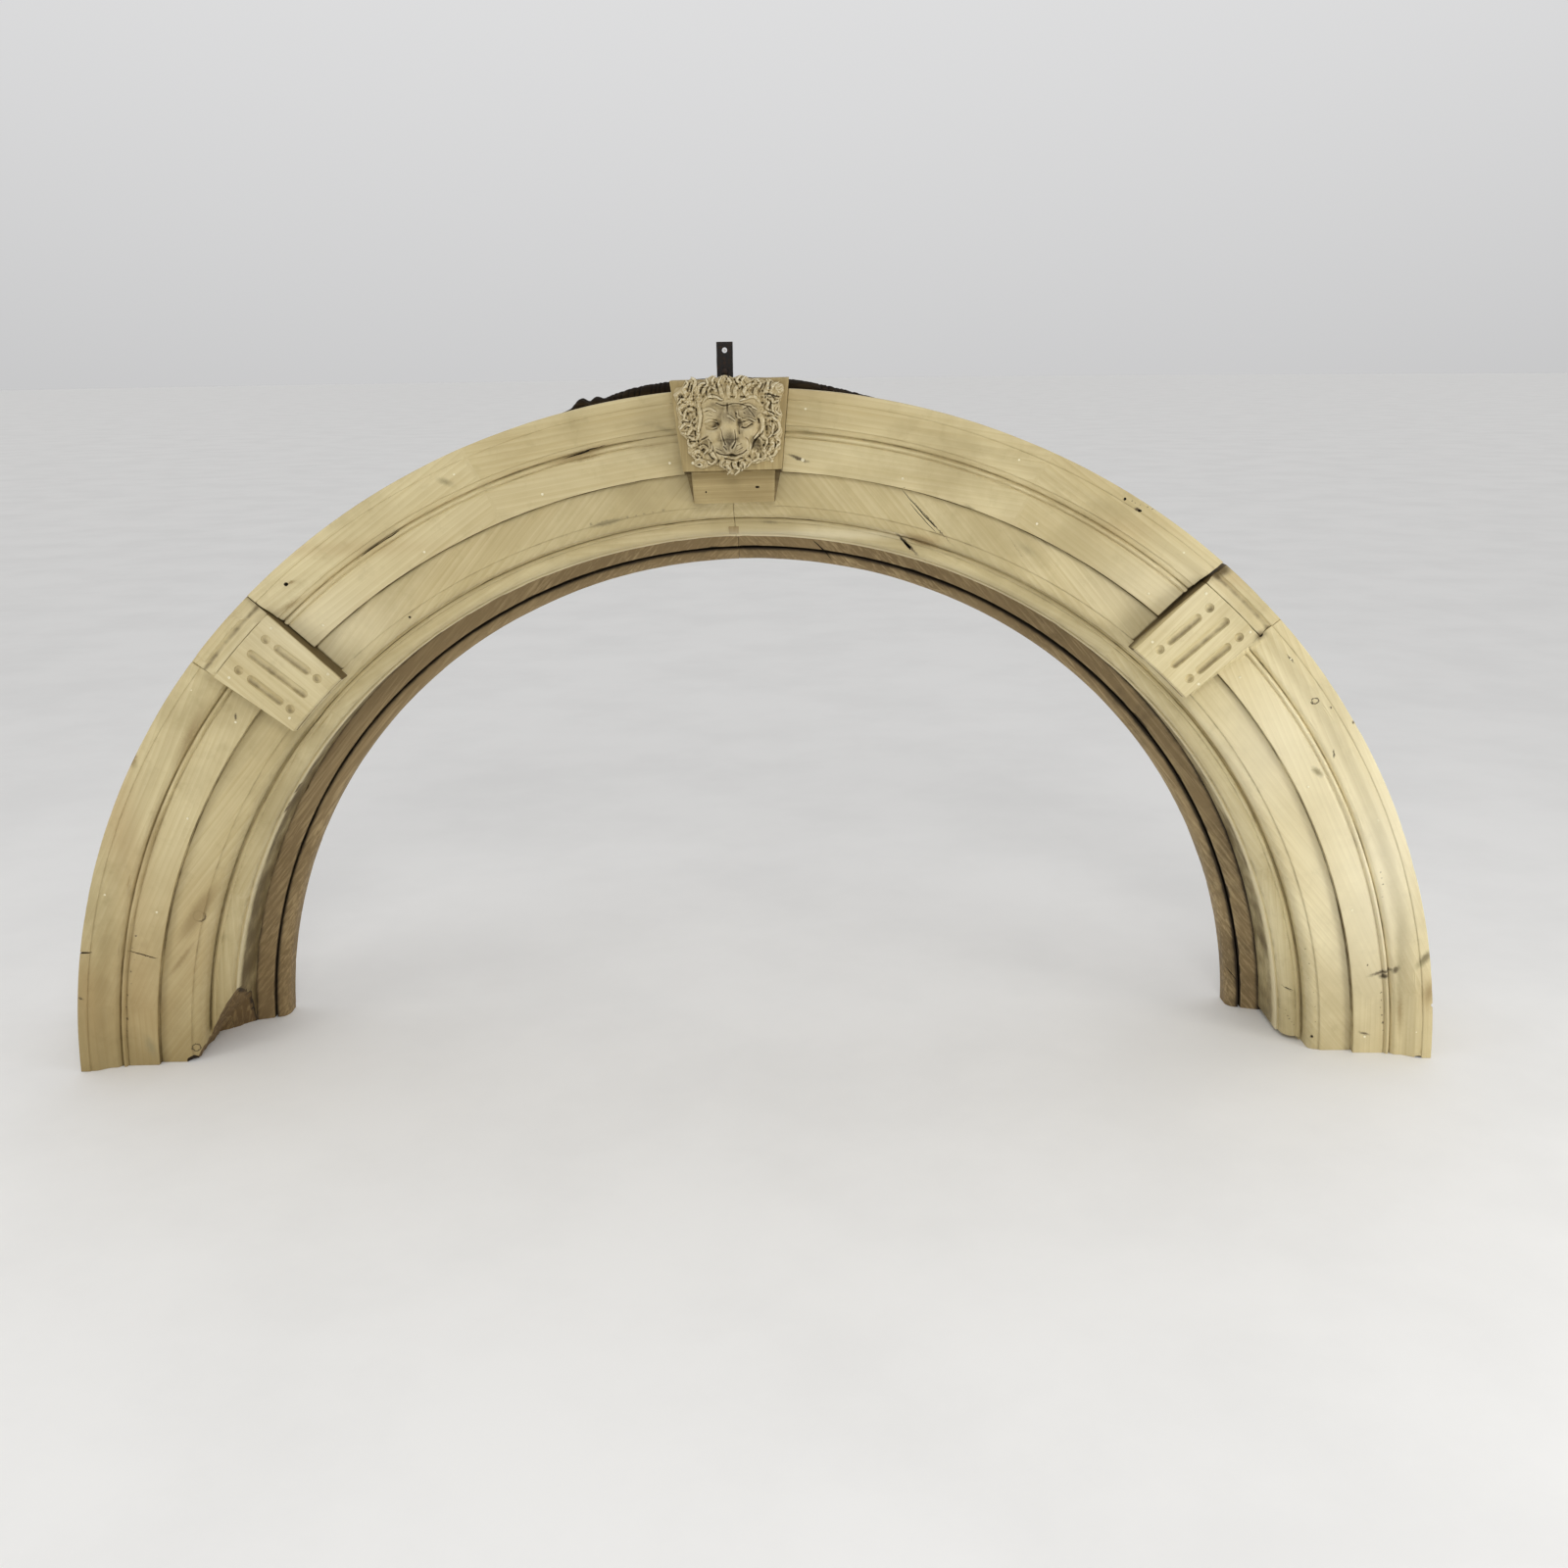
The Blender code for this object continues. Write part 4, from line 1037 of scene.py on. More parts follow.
def carve(piece, cutter):
    """Cuts the cutter out of the piece; the cut faces keep the cutter's material."""
    modifier = piece.modifiers.new("carve", "BOOLEAN")
    modifier.operation = "DIFFERENCE"
    modifier.solver = "EXACT"
    modifier.material_mode = "TRANSFER"
    modifier.object = cutter
    cut = None
    for attempt in range(CUT_ATTEMPTS):
        cutter.location = Vector((0.7, 1.0, 0.4)) * (attempt * 0.00017)
        modifier.use_self = attempt > 1
        graph = bpy.context.evaluated_depsgraph_get()
        cut = bpy.data.meshes.new_from_object(piece.evaluated_get(graph))
        if len(cut.vertices) > len(piece.data.vertices) * LEAST_KEPT:
            break
        bpy.data.meshes.remove(cut)
        cut = None
    piece.modifiers.clear()
    bpy.data.objects.remove(cutter)
    if cut is None:
        print("cut left out on", piece.name)
        return
    old = piece.data
    piece.data = cut
    cut.name = old.name
    bpy.data.meshes.remove(old)
    cut.shade_smooth()
    cut.set_sharp_from_angle(angle=math.radians(CREASE))


def carve_all(piece, shapes, finish):
    """Cuts several closed shapes, each a pair of points and faces, one after another."""
    for points, faces in shapes:
        carve(piece, make_mesh("cut", points, faces, finish))


def capsule(low, high, radius):
    """A closed round-ended bar between two points."""
    steps = 10
    low = Vector(low)
    high = Vector(high)
    axis = (high - low).normalized()
    side = axis.orthogonal().normalized()
    turns = [math.pi / 2.0 * (step / steps) for step in range(1, steps + 1)]
    ends = [(low - axis * (radius * math.cos(turn)), radius * math.sin(turn)) for turn in turns]
    ends += [(high + axis * (radius * math.cos(turn)), radius * math.sin(turn)) for turn in reversed(turns)]
    rings = [(low - axis * radius, 0.0)] + ends + [(high + axis * radius, 0.0)]
    return turned_shape(rings, side, axis.cross(side))


def crack(route, width, depth, seed, surface_depth=None, above=0.004):
    """A closed wedge that follows a route of pixels: open at the surface, closed below."""
    places = [seen(pixel, surface_depth) for pixel in route]
    line = []
    for here, after in zip(places, places[1:]):
        count = max(2, math.ceil((after - here).length / 0.006))
        line += [here.lerp(after, step / count) for step in range(count)]
    line.append(places[-1])
    points = []
    size = len(line)
    for number, here in enumerate(line):
        along = (line[min(number + 1, size - 1)] - line[max(number - 1, 0)]).normalized()
        side = Vector((along.z, 0.0, -along.x)).normalized()
        swell = math.sin(math.pi * (number / (size - 1)))
        half = side * (0.5 * width * (0.12 + 0.88 * swell ** 0.5))
        middle = here + side * (0.0006 * line_noise(number * 0.006, 0.011, seed))
        outside = TOWARDS_VIEWER * above
        floor = middle - TOWARDS_VIEWER * (depth * (0.35 + 0.65 * swell))
        points += [middle + half + outside, middle + half, floor, middle - half, middle - half + outside]
    return points, loop_faces(size, 5)


def chip(pixel, size, seed, surface_depth=None):
    """A rough closed lump, for a chip or a hole; size is its three half sizes."""
    shape = bmesh.new()
    bmesh.ops.create_icosphere(shape, subdivisions=2, radius=1.0)
    rows, faces = taken_apart(shape)
    rows *= (1.0 + 0.28 * noise(rows + seed, 0.6, seed))[:, None]
    return rows * np.array(size) + np.array(seen(pixel, surface_depth)), faces


# Cracks, chips and nail holes of each piece, as the photograph shows them
CUTS = {
    "crown_upper_left": (
        (crack, ((566, 472), (590, 463.5), (618, 454)), 0.0030, 0.0032, 3),
        (crack, ((358, 577), (380, 560), (408, 541)), 0.0026, 0.008, 5),
        (chip, (292, 596), (0.0032, 0.010, 0.0032), 6),
    ),
    "crown_lower_left": (
        (crack, ((78, 973), (84, 972.4), (94, 972.2)), 0.0030, 0.012, 7),
        (crack, ((131, 970), (146, 974), (161, 978)), 0.0016, 0.006, 8),
        (chip, (133, 771), (0.004, 0.009, 0.011), 9),
    ),
    "crown_lower_right": (
        (chip, (1447, 1079), (0.006, 0.012, 0.003), 11),
        (chip, (1462.5, 1026), (0.0035, 0.010, 0.0035), 12),
        (chip, (1285, 647), (0.0044, 0.012, 0.0040), 13),
        (crack, ((1361.5, 764), (1361, 774)), 0.0016, 0.005, 14),
    ),
    "crown_upper_right": (
        (chip, (1163, 521), (0.0030, 0.006, 0.0024), 15),
        (chip, (1148, 509), (0.0020, 0.006, 0.0020), 16),
    ),
    "fascia_ring_right": (
        (crack, ((919.4, 499), (943, 526), (977, 562)), 0.0013, 0.008, 21),
        (crack, ((928.5, 513), (940, 527), (955.8, 544.4)), 0.0010, 0.006, 22),
        (chip, (1338, 1056.5), (0.0022, 0.008, 0.0022), 24),
    ),
    "fascia_ring_left": (
        (chip, (418, 629.5), (0.0018, 0.005, 0.0018), 25),
        (chip, (199, 1083), (0.012, 0.012, 0.010), 26),
    ),
    "inner_moulding_right": (
        (crack, ((912.5, 542.8), (924, 554), (937, 567)), 0.0044, 0.012, 31),
        (crack, ((1306, 1002), (1313, 1008), (1322, 1012)), 0.0012, 0.005, 32),
    ),
    "back_ring_right": (
        (crack, ((829, 551), (839, 560), (851, 575)), 0.0020, 0.012, 41, BAND_DEPTH, 0.012),
        (crack, ((1243, 977), (1253, 989), (1262, 1000)), 0.0014, 0.010, 42, BAND_DEPTH + 0.006, 0.012),
    ),
    "keystone_lower_block": (
        (chip, (773, 497), (0.0032, 0.006, 0.0018), 51, LOWER_FRONT_DEPTH),
        (chip, (720.5, 502), (0.0014, 0.008, 0.0014), 52, LOWER_FRONT_DEPTH),
    ),
}


def damage(piece, name, finish):
    """Makes the cracks and chips of the piece that stands for this node."""
    carve_all(piece, [make(*row) for make, *row in CUTS.get(name, ())], finish["crack"])


# Pieces

# Stretches beside the blocks that need finer stations, in degrees
BLOCK_SURROUNDS = ((41.6, 44.0), (49.7, 51.6), (131.0, 132.9), (139.2, 141.4))

# Filler that blends each block's lower side into the moulding: its width at the plate's inner and outer end
FILLER = {"right": (0.012, 0.021), "left": (0.006, 0.008)}

# The left cap's moulding runs only between these two lines: degrees at the outer and the plate's radius
LEFT_CAP_START = (-1.04, -2.45)
LEFT_CAP_STOP = (3.40, 3.60)
LEFT_CAP_FLAT = 0.0035


def build_crown(finish):
    upper = softened(crown_outline(True), lambda radius, depth: depth > 0.030)
    lower = softened(crown_outline(False), lambda radius, depth: depth > 0.030)
    right, right_under, right_over = BLOCKS["right"][:3]
    left, left_over, left_under = BLOCKS["left"][:3]
    rows = (
        ("crown_lower_right", lower, foot_end(False), block_end(right, right_under, -TIGHT_JOINT),
         (0.0, 7.6, 46.0)),
        ("crown_upper_right", upper, block_end(right, right_over, OPEN_JOINT), keystone_end(False),
         (40.0, 66.0, 95.0)),
        ("crown_upper_left", upper, keystone_end(True), block_end(left, left_over, -NARROW_JOINT),
         (88.0, 112.0, 140.0)),
        ("crown_lower_left", lower, block_end(left, left_under, TIGHT_JOINT), foot_end(True),
         (132.0, 172.4, 184.0)),
    )
    for number, (name, outline, start, end, boards) in enumerate(rows):
        piece = sweep(name + "_worn", outline, start, end, finish["crown"], seed=40 + number,
                      fine=BLOCK_SURROUNDS)
        fill_beside_blocks(piece, 0.0300)
        if name == "crown_upper_left":
            move_front(piece, lost_bead)
        damage(piece, name, finish)
        paint(piece, segment_grain(boards, number), ring_grime_and_shade)
        settle(piece, "pine", name)


def fill_beside_blocks(piece, deepest):
    """Raises the front of a moulding below each block to the plate's face, in a soft worn slope."""
    def place(radius, depth, angle):
        points = from_polar(radius, depth, angle)
        under_crown = (deepest > BODY_DEPTH) & (radius > FASCIA_RADIUS - 0.0004)
        moved = depth
        for side, block in BLOCKS.items():
            away = beside_block(radius, angle, block, False)
            width = between(FILLER[side], np.clip(plate_share(radius), 0.0, 1.0))
            width *= 1.0 + 0.45 * rough(points, 0.022, 95)
            rise = eased(np.clip(1.0 - away / width, 0.0, 1.0) * (away >= 0.0))
            rise *= np.clip((radius - PLATE_INNER_RADIUS - 0.0010) / 0.004, 0.0, 1.0)
            rise *= np.clip((PLATE_OUTER_RADIUS + 0.0080 - radius) / 0.012, 0.0, 1.0)
            rise *= (depth < deepest) & ~under_crown
            top = np.minimum(depth, PLATE_FRONT_DEPTH + 0.0016 + 0.0008 * rough(points, 0.010, 96))
            moved = moved + (top - depth) * rise
        return moved

    move_front(piece, place)


def move_front(piece, place):
    """Moves the vertices of a piece in depth: place(radius, depth, angle) gives their new depth."""
    mesh = piece.data
    points = read_points(mesh)
    radius, depth, angle = polar(points)
    points[:, 1] += place(radius, depth, angle) - depth
    mesh.vertices.foreach_set("co", points.astype(np.float32).ravel())
    mesh.update()


def shallow_groove(radius, depth, angle):
    """The groove beside the ovolo, clogged over the top of the arch."""
    top = np.clip(np.minimum(angle - 18.0, 162.0 - angle) / 30.0, 0.0, 1.0)
    floor = (np.abs(depth - GROOVE_FLOOR_DEPTH) < 0.0012) & (radius > BORE_RADIUS - 0.0004)
    floor &= radius < OVOLO_INNER_RADIUS + 0.0010
    return depth - floor * top * 0.0078


def lost_bead(radius, depth, angle):
    """The bead, planed away beside the keystone."""
    share = np.clip((99.6 - angle) / 1.4, 0.0, 1.0)
    bead = (radius > BEAD_RADIUS - 0.0016) & (radius < QUIRK_RADIUS - 0.0004) & (depth < 0.026)
    return depth + bead * share * (FASCIA_DEPTH - depth)


def flat_cap(direction):
    """Takes the moulding off both ends of the left cap, down to a flat."""
    def place(radius, depth, angle):
        away = angle - direction
        inward = np.clip((OUTER_RADIUS - radius) / (OUTER_RADIUS - PLATE_OUTER_RADIUS), 0.0, 1.0)
        start = between(LEFT_CAP_START, inward ** 1.4)
        stop = between(LEFT_CAP_STOP, inward)
        moulded = eased(np.clip((away - start) / 0.22, 0.0, 1.0) * np.clip((stop - away) / 0.18, 0.0, 1.0))
        flat = LEFT_CAP_FLAT + 0.0004 * rough(from_polar(radius, depth, angle), 0.012, 87)
        return np.where(depth < 0.009, flat + (depth - flat) * moulded, depth)
    return place


def build_rings(finish):
    body = softened(body_outline(), lambda radius, depth: depth > 0.080 or radius > 0.984)
    inner = softened(inner_outline(), lambda radius, depth: depth > 0.100)
    back = softened(back_outline(), lambda radius, depth: depth > 0.250 or radius > 0.880)
    for side, left in (("left", True), ("right", False)):
        def spans(slack=0.012, lift=0.0):
            if left:
                return radial_end(AXIS + slack), foot_end(True)
            return foot_end(False, lift), radial_end(AXIS - slack)

        slope = -130.0 if left else -50.0
        ring = sweep("fascia_ring_" + side + "_boards", body, *spans(), finish["fascia"], seed=60 + left,
                     fine=BLOCK_SURROUNDS)
        fill_beside_blocks(ring, 0.0345)
        move_front(ring, shallow_groove)
        moulding = sweep("inner_moulding_" + side + "_worn", inner, *spans(0.02, RIGHT_MOULDING_LIFT),
                         finish["inner"], seed=64 + left)
        rear = sweep("back_ring_" + side + "_raw", back, *spans(), finish["raw"], wear=1.5, seed=68 + left)
        if left:
            carve(ring, broken_foot(finish))
            carve(moulding, broken_foot(finish))
        joints = (80.0, 108.0, 137.0, 160.0, 190.0) if left else (-5.0, 22.0, 51.0, 72.0, 100.0)
        rows = (
            (ring, "fascia_ring_", "pine", diagonal_grain(slope, 0.3 + left), ring_grime_and_shade),
            (moulding, "inner_moulding_", "pine", segment_grain(joints, 5 + left), ring_grime_and_shade, arris_painted_highlight),
            (rear, "back_ring_", "brown_wood", diagonal_grain(slope, 0.7 + left), rear_shade_and_grime),
        )
        for piece, name, slot, *surface_marks in rows:
            damage(piece, name + side, finish)
            paint(piece, *surface_marks)
            settle(piece, slot, name + side)


def arris_painted_highlight(points):
    """A painted highlight along the edge between the torus and the soffit."""
    radius, depth = polar(points)[:2]
    return 0.5 * line_at(radius, SOFFIT_RADIUS + 0.0012, 0.0014) * (depth < SOFFIT_FRONT_DEPTH + 0.0012)


def rear_shade_and_grime(points):
    radius, depth, angle = polar(points)
    # Painted shade in the back groove, in the corner at the soffit and along the right side, over uneven
    # grime
    groove = 0.85 * line_at(radius, 0.8458, 0.0042) * (depth > 0.2065)
    corner = line_at(radius, SOFFIT_RADIUS, 0.0035)
    side = np.interp(angle, (20.0, 70.0, 120.0), (0.32, 0.15, 0.0))
    return np.clip(side + groove + 0.6 * corner + 0.25 * rough(points, 0.08, 91), 0.0, 1.0)


def broken_foot(finish):
    """The lump that has split off the inner side of the left foot, rough along its fibres."""
    front = 0.016
    back = SOFFIT_BACK_DEPTH + 0.0001
    under = -0.012
    clear_x = -0.815
    edge = [(-0.925, front, 0.000), (-0.926, 0.150, 0.000), (-0.874, back, 0.004)]
    crest = [(-0.868, 0.092, 0.105), (-0.868, 0.172, 0.070)]
    below = [(x, depth, under) for x, depth, z in edge]
    inside = [(clear_x, front, 0.120), (clear_x, 0.190, 0.080)]
    inside += [(clear_x, front, under), (clear_x, back, under)]
    shape = bmesh.new()
    for x, depth, z in edge + crest + below + inside:
        shape.verts.new((x, FACE_Y + depth, z))
    made = bmesh.ops.convex_hull(shape, input=shape.verts)
    loose = {v for v in made["geom_interior"] + made["geom_unused"] if isinstance(v, bmesh.types.BMVert)}
    bmesh.ops.delete(shape, geom=list(loose), context="VERTS")
    bmesh.ops.triangulate(shape, faces=shape.faces)
    for _ in range(4):
        long_edges = [e for e in shape.edges if e.calc_length() > 0.005]
        bmesh.ops.subdivide_edges(shape, edges=long_edges, cuts=1)
        bmesh.ops.triangulate(shape, faces=shape.faces)
    rows = np.array([vert.co for vert in shape.verts])
    lean = 0.35
    steep = 0.9
    fibre = np.column_stack((rows[:, 0] * lean + rows[:, 2] * steep, rows[:, 1],
                             rows[:, 0] * steep - rows[:, 2] * lean))
    push = 0.0030 * rough(fibre, (0.050, 0.008, 0.010), 71) + 0.0012 * noise(rows, 0.006, 72)
    shape.normal_update()
    for vert, amount in zip(shape.verts, push):
        vert.co += vert.normal * float(amount)
    return make_mesh("broken_foot", *taken_apart(shape), finish["torn"])


def build_blocks(finish):
    middle = (PLATE_INNER_RADIUS + PLATE_OUTER_RADIUS) / 2.0
    for side, block in BLOCKS.items():
        direction, first_side, last_side, offset, slope = block
        outline = softened(plate_outline(), lambda radius, depth: depth > 0.030, 0.0010, 0.0024)
        plate = sweep(f"fluted_plate_{side}_carved", outline, block_end(direction, first_side),
                      block_end(direction, last_side), finish["block"], 0.8, 80, step=0.14)

        def lane_point(column, radius, lift):
            across = column * FLUTE_SPACING - offset - slope * (radius - middle)
            return local_to_world(across, radius, PLATE_FRONT_DEPTH - lift, direction)

        parts = []
        for column in (-1, 0, 1):
            reach = LONG_FLUTE if column == 0 else SHORT_FLUTE
            low_end, high_end = (lane_point(column, radius, FLUTE_CENTRE_LIFT) for radius in reach)
            parts.append(capsule(low_end, high_end, FLUTE_RADIUS))
            for radius in DIMPLE_PLACES if column else ():
                centre = lane_point(column, radius, DIMPLE_CENTRE_LIFT)
                parts.append(capsule(centre, centre + np.array((0.0, 1e-4, 0.0)), DIMPLE_RADIUS))
        carve_all(plate, parts, finish["block"])
        paint(plate, straight_grain(direction + 90.0, 3), block_painted_shade(block))
        settle(plate, "pine", "fluted_plate_" + side)
        outline = softened(cap_outline(), lambda radius, depth: depth > 0.012, 0.0006, 0.0018)
        cap = sweep(f"block_cap_{side}_worn", outline, block_end(direction, first_side),
                    block_end(direction, last_side), finish["block"], 0.9, 84, step=0.1)
        if side == "left":
            move_front(cap, flat_cap(direction))
        paint(cap, straight_grain(direction, 8), cap_shade_and_joint_line)
        settle(cap, "pine", "block_cap_" + side)


def block_painted_shade(block):
    """Painted shade in the flutes, darkest on their lower walls as if lit from the side, painted dark lines
    at their rims and the plate's inner end, and painted shadow down the sides of a plate.
    """
    direction = block[0]
    offset, slope = block[3:]
    lower = 1.0 if direction < AXIS else -1.0
    middle = (PLATE_INNER_RADIUS + PLATE_OUTER_RADIUS) / 2.0

    def grime_and_shade(points):
        radius, depth, angle = polar(points)
        across = world_to_local(points, direction)[:, 0]
        lane = across + offset + slope * (radius - middle)
        lane -= FLUTE_SPACING * np.clip(np.round(lane / FLUTE_SPACING), -1.0, 1.0)
        sunk = np.clip((depth - PLATE_FRONT_DEPTH - 0.0005) / 0.0035, 0.0, 1.0)
        above = -beside_block(radius, angle, block, True) < 0.0012
        below = -beside_block(radius, angle, block, False) < 0.0012
        inside = ~(above | below) & (radius > PLATE_INNER_RADIUS + 0.0045)
        # Painted shade on one wall of each flute, as if lit from the side
        flute = sunk * (0.26 + 0.50 * np.clip(lower * lane / FLUTE_RADIUS, -0.4, 1.0))
        flute += 0.42 * line_at(depth, PLATE_FRONT_DEPTH + 0.0011, 0.0007)
        end_lines = 0.7 * line_at(depth, 0.0062, 0.0012) + 0.8 * np.clip((depth - 0.022) / 0.008, 0.0, 1.0)
        return np.where(inside, flute, np.where(above, 0.92 * sunk, np.where(below, 0.25 * sunk, end_lines)))
    return grime_and_shade


def cap_shade_and_joint_line(points):
    """Painted shade in the cove of a block's cap and at its ends, a dark line at its joint with the plate,
    and a darker outer fillet.
    """
    radius, _, angle = polar(points)
    cove = 0.62 * line_at(radius, CAP_COVE_RADIUS + 0.0012, 0.0042)
    joint = 0.7 * line_at(radius, PLATE_OUTER_RADIUS, 0.0012)
    total = (cove + joint) * np.clip(0.9 + 0.5 * rough(points, 0.02, 86), 0.2, 1.3)
    for block in BLOCKS.values():
        inside = -beside_block(radius, angle, block, True)
        total += 0.34 * line_at(inside, 0.0, 0.009) + 0.5 * (np.abs(inside) < 0.0006)
    return total + 0.16 * (radius > CAP_FILLET_RADIUS)


def cap_outline():
    foot = PLATE_OUTER_RADIUS + JOINT_GAP
    cove = CAP_COVE_RADIUS
    outline = [(OUTER_RADIUS, 0.0), (CAP_FILLET_RADIUS, 0.0006)]
    outline += [(CAP_FILLET_RADIUS - 0.0012, CAP_COVE_DEPTH - 0.0022), (cove + 0.0022, CAP_COVE_DEPTH)]
    outline += ogee((cove - 0.0010, CAP_COVE_DEPTH), (foot + 0.0010, CAP_FOOT_DEPTH), 12)
    outline += [(foot, CAP_FOOT_DEPTH + 0.0010), (foot, BODY_DEPTH - JOINT_GAP)]
    outline += [(OUTER_RADIUS, BODY_DEPTH - JOINT_GAP)]
    return outline


def grid_plate(name, corners, front, chamfer, finish, seed=0, spacing=0.0025):
    """A tapered board on the keystone's axis; corners are (top half, foot half, top radius, foot radius)."""
    top_half, foot_half, top, foot = corners
    columns = round(top_half * 2.0 / spacing) + 1
    rows = round((top - foot) / spacing) + 1
    grid_u, grid_v = np.meshgrid(np.linspace(-1.0, 1.0, columns), np.linspace(0.0, 1.0, rows))
    radius = between((foot, top), grid_v)
    across = grid_u * between((foot_half, top_half), grid_v)
    place = np.stack((across, radius, np.zeros_like(radius)), axis=-1)
    depth = front + 0.0005 * rough(place, 0.05, seed)
    rim = (np.abs(grid_u) > 0.9999) | (grid_v < 0.0001) | (grid_v > 0.9999)
    edge_wear = chamfer * (1.0 + 0.8 * rough(place, 0.02, seed + 2))
    depth = np.where(rim, depth + np.clip(edge_wear, 0.0002, 0.01), depth)
    front_points = local_to_world(across, radius, depth, KEY_DIRECTION).reshape(-1, 3)
    index = np.arange(rows * columns).reshape(rows, columns)
    faces = np.stack((index[:-1, :-1], index[:-1, 1:], index[1:, 1:], index[1:, :-1]), axis=-1)
    faces = faces.reshape(-1, 4).tolist()
    border = [*index[0, :], *index[1:, -1], *index[-1, -2::-1], *index[-2:0:-1, 0]]
    rim_across, rim_radius = world_to_local(front_points[border], KEY_DIRECTION)[:, :2].T
    back_points = local_to_world(rim_across, rim_radius, BODY_DEPTH - JOINT_GAP, KEY_DIRECTION)
    base = len(front_points)
    size = len(border)
    for i in range(size):
        j = (i + 1) % size
        faces.append([int(border[i]), int(border[j]), base + j, base + i])
    faces.append([base + i for i in range(size)])
    return make_mesh(name, np.vstack((front_points, back_points)), faces, finish)


def build_keystone(finish):
    plate = grid_plate("keystone_plate_worn", (KEY_TOP_HALF, KEY_FOOT_HALF, KEY_TOP_RADIUS, KEY_FOOT_RADIUS),
                       KEY_FRONT_DEPTH, 0.0010, finish["key"], 90)
    paint(plate, straight_grain(KEY_DIRECTION + 90.0, 2), key_painted_shade)
    settle(plate, "pine", "keystone_plate")
    top = KEY_FOOT_RADIUS - JOINT_GAP
    corners = (LOWER_TOP_HALF, LOWER_FOOT_HALF, top, LOWER_FOOT_RADIUS)
    block = grid_plate("keystone_lower_block_worn", corners, LOWER_FRONT_DEPTH, 0.0010, finish["key"], 93)
    corners = (BASE_TOP_HALF, LOWER_FOOT_HALF + 0.001, top, LOWER_FOOT_RADIUS - 0.001)
    ledge = grid_plate("keystone_block_base", corners, BASE_FRONT_DEPTH, 0.0006, finish["key"], 95, 0.004)
    damage(block, "keystone_lower_block", finish)
    join(block, ledge)
    paint(block, straight_grain(KEY_DIRECTION, 6), key_painted_shade)
    settle(block, "pine", "keystone_lower_block")


def join(target, *others):
    """Puts the meshes of the others into the target's."""
    merged = bmesh.new()
    slots = list(target.data.materials)
    merged.from_mesh(target.data)
    for other in others:
        start = len(merged.faces)
        merged.from_mesh(other.data)
        merged.faces.ensure_lookup_table()
        places = []
        for finish in other.data.materials:
            if finish not in slots:
                slots.append(finish)
                target.data.materials.append(finish)
            places.append(slots.index(finish))
        for face in merged.faces[start:]:
            face.material_index = places[face.material_index]
        bpy.data.objects.remove(other)
    merged.to_mesh(target.data)
    merged.free()


def key_painted_shade(points):
    # Painted shade on the recessed ledge round the lower block, and painted shadow under the foot of the
    # plate
    local = world_to_local(points, KEY_DIRECTION)
    deep = np.clip((local[:, 2] - BASE_FRONT_DEPTH + 0.004) / 0.004, 0.0, 1.0)
    under = line_at(local[:, 1], KEY_FOOT_RADIUS - 0.002, 0.0035) * (local[:, 2] > 0.0)
    return np.clip(0.62 * deep + 0.6 * under, 0.0, 1.0)


# The lion mask: a relief worked in millimetres across and up from its middle
MASK_MIDDLE = 1.049
MASK_SPACING = 0.50
MASK_HALF_WIDTH = 84.0
MASK_HALF_HEIGHT = 79.0
MASK_RELIEF = 39.4
MASK_EDGE = 1.2
MILLIMETRE = 0.001
# Millimetres to a pixel of the photograph, on the mask
PIXEL = 1.42

# The lion in photo pixels, as it is seen from the front; sizes across in pixels, heights in millimetres.
# Outline of the mane
MANE = (
    (694, 397), (698, 390), (703, 387), (707, 384), (711, 389), (717, 389), (722, 385), (727, 382),
    (731, 385), (736, 383), (743, 383), (748, 385), (755, 382), (761, 383), (767, 387), (774, 385),
    (780, 388), (785, 386), (791, 389), (799, 392), (801, 399), (797, 407), (796, 416), (799, 424),
    (797, 432), (799, 442), (796, 450), (797, 458), (792, 464), (789, 471), (780, 471), (773, 474),
    (766, 474), (761, 480), (755, 483), (747, 485), (741, 482), (737, 477), (729, 475), (722, 478),
    (714, 479), (710, 475), (708, 469), (701, 463), (701, 450), (694, 444), (691, 437), (692, 428),
    (689, 419), (690, 411), (686, 403), (694, 397),
)
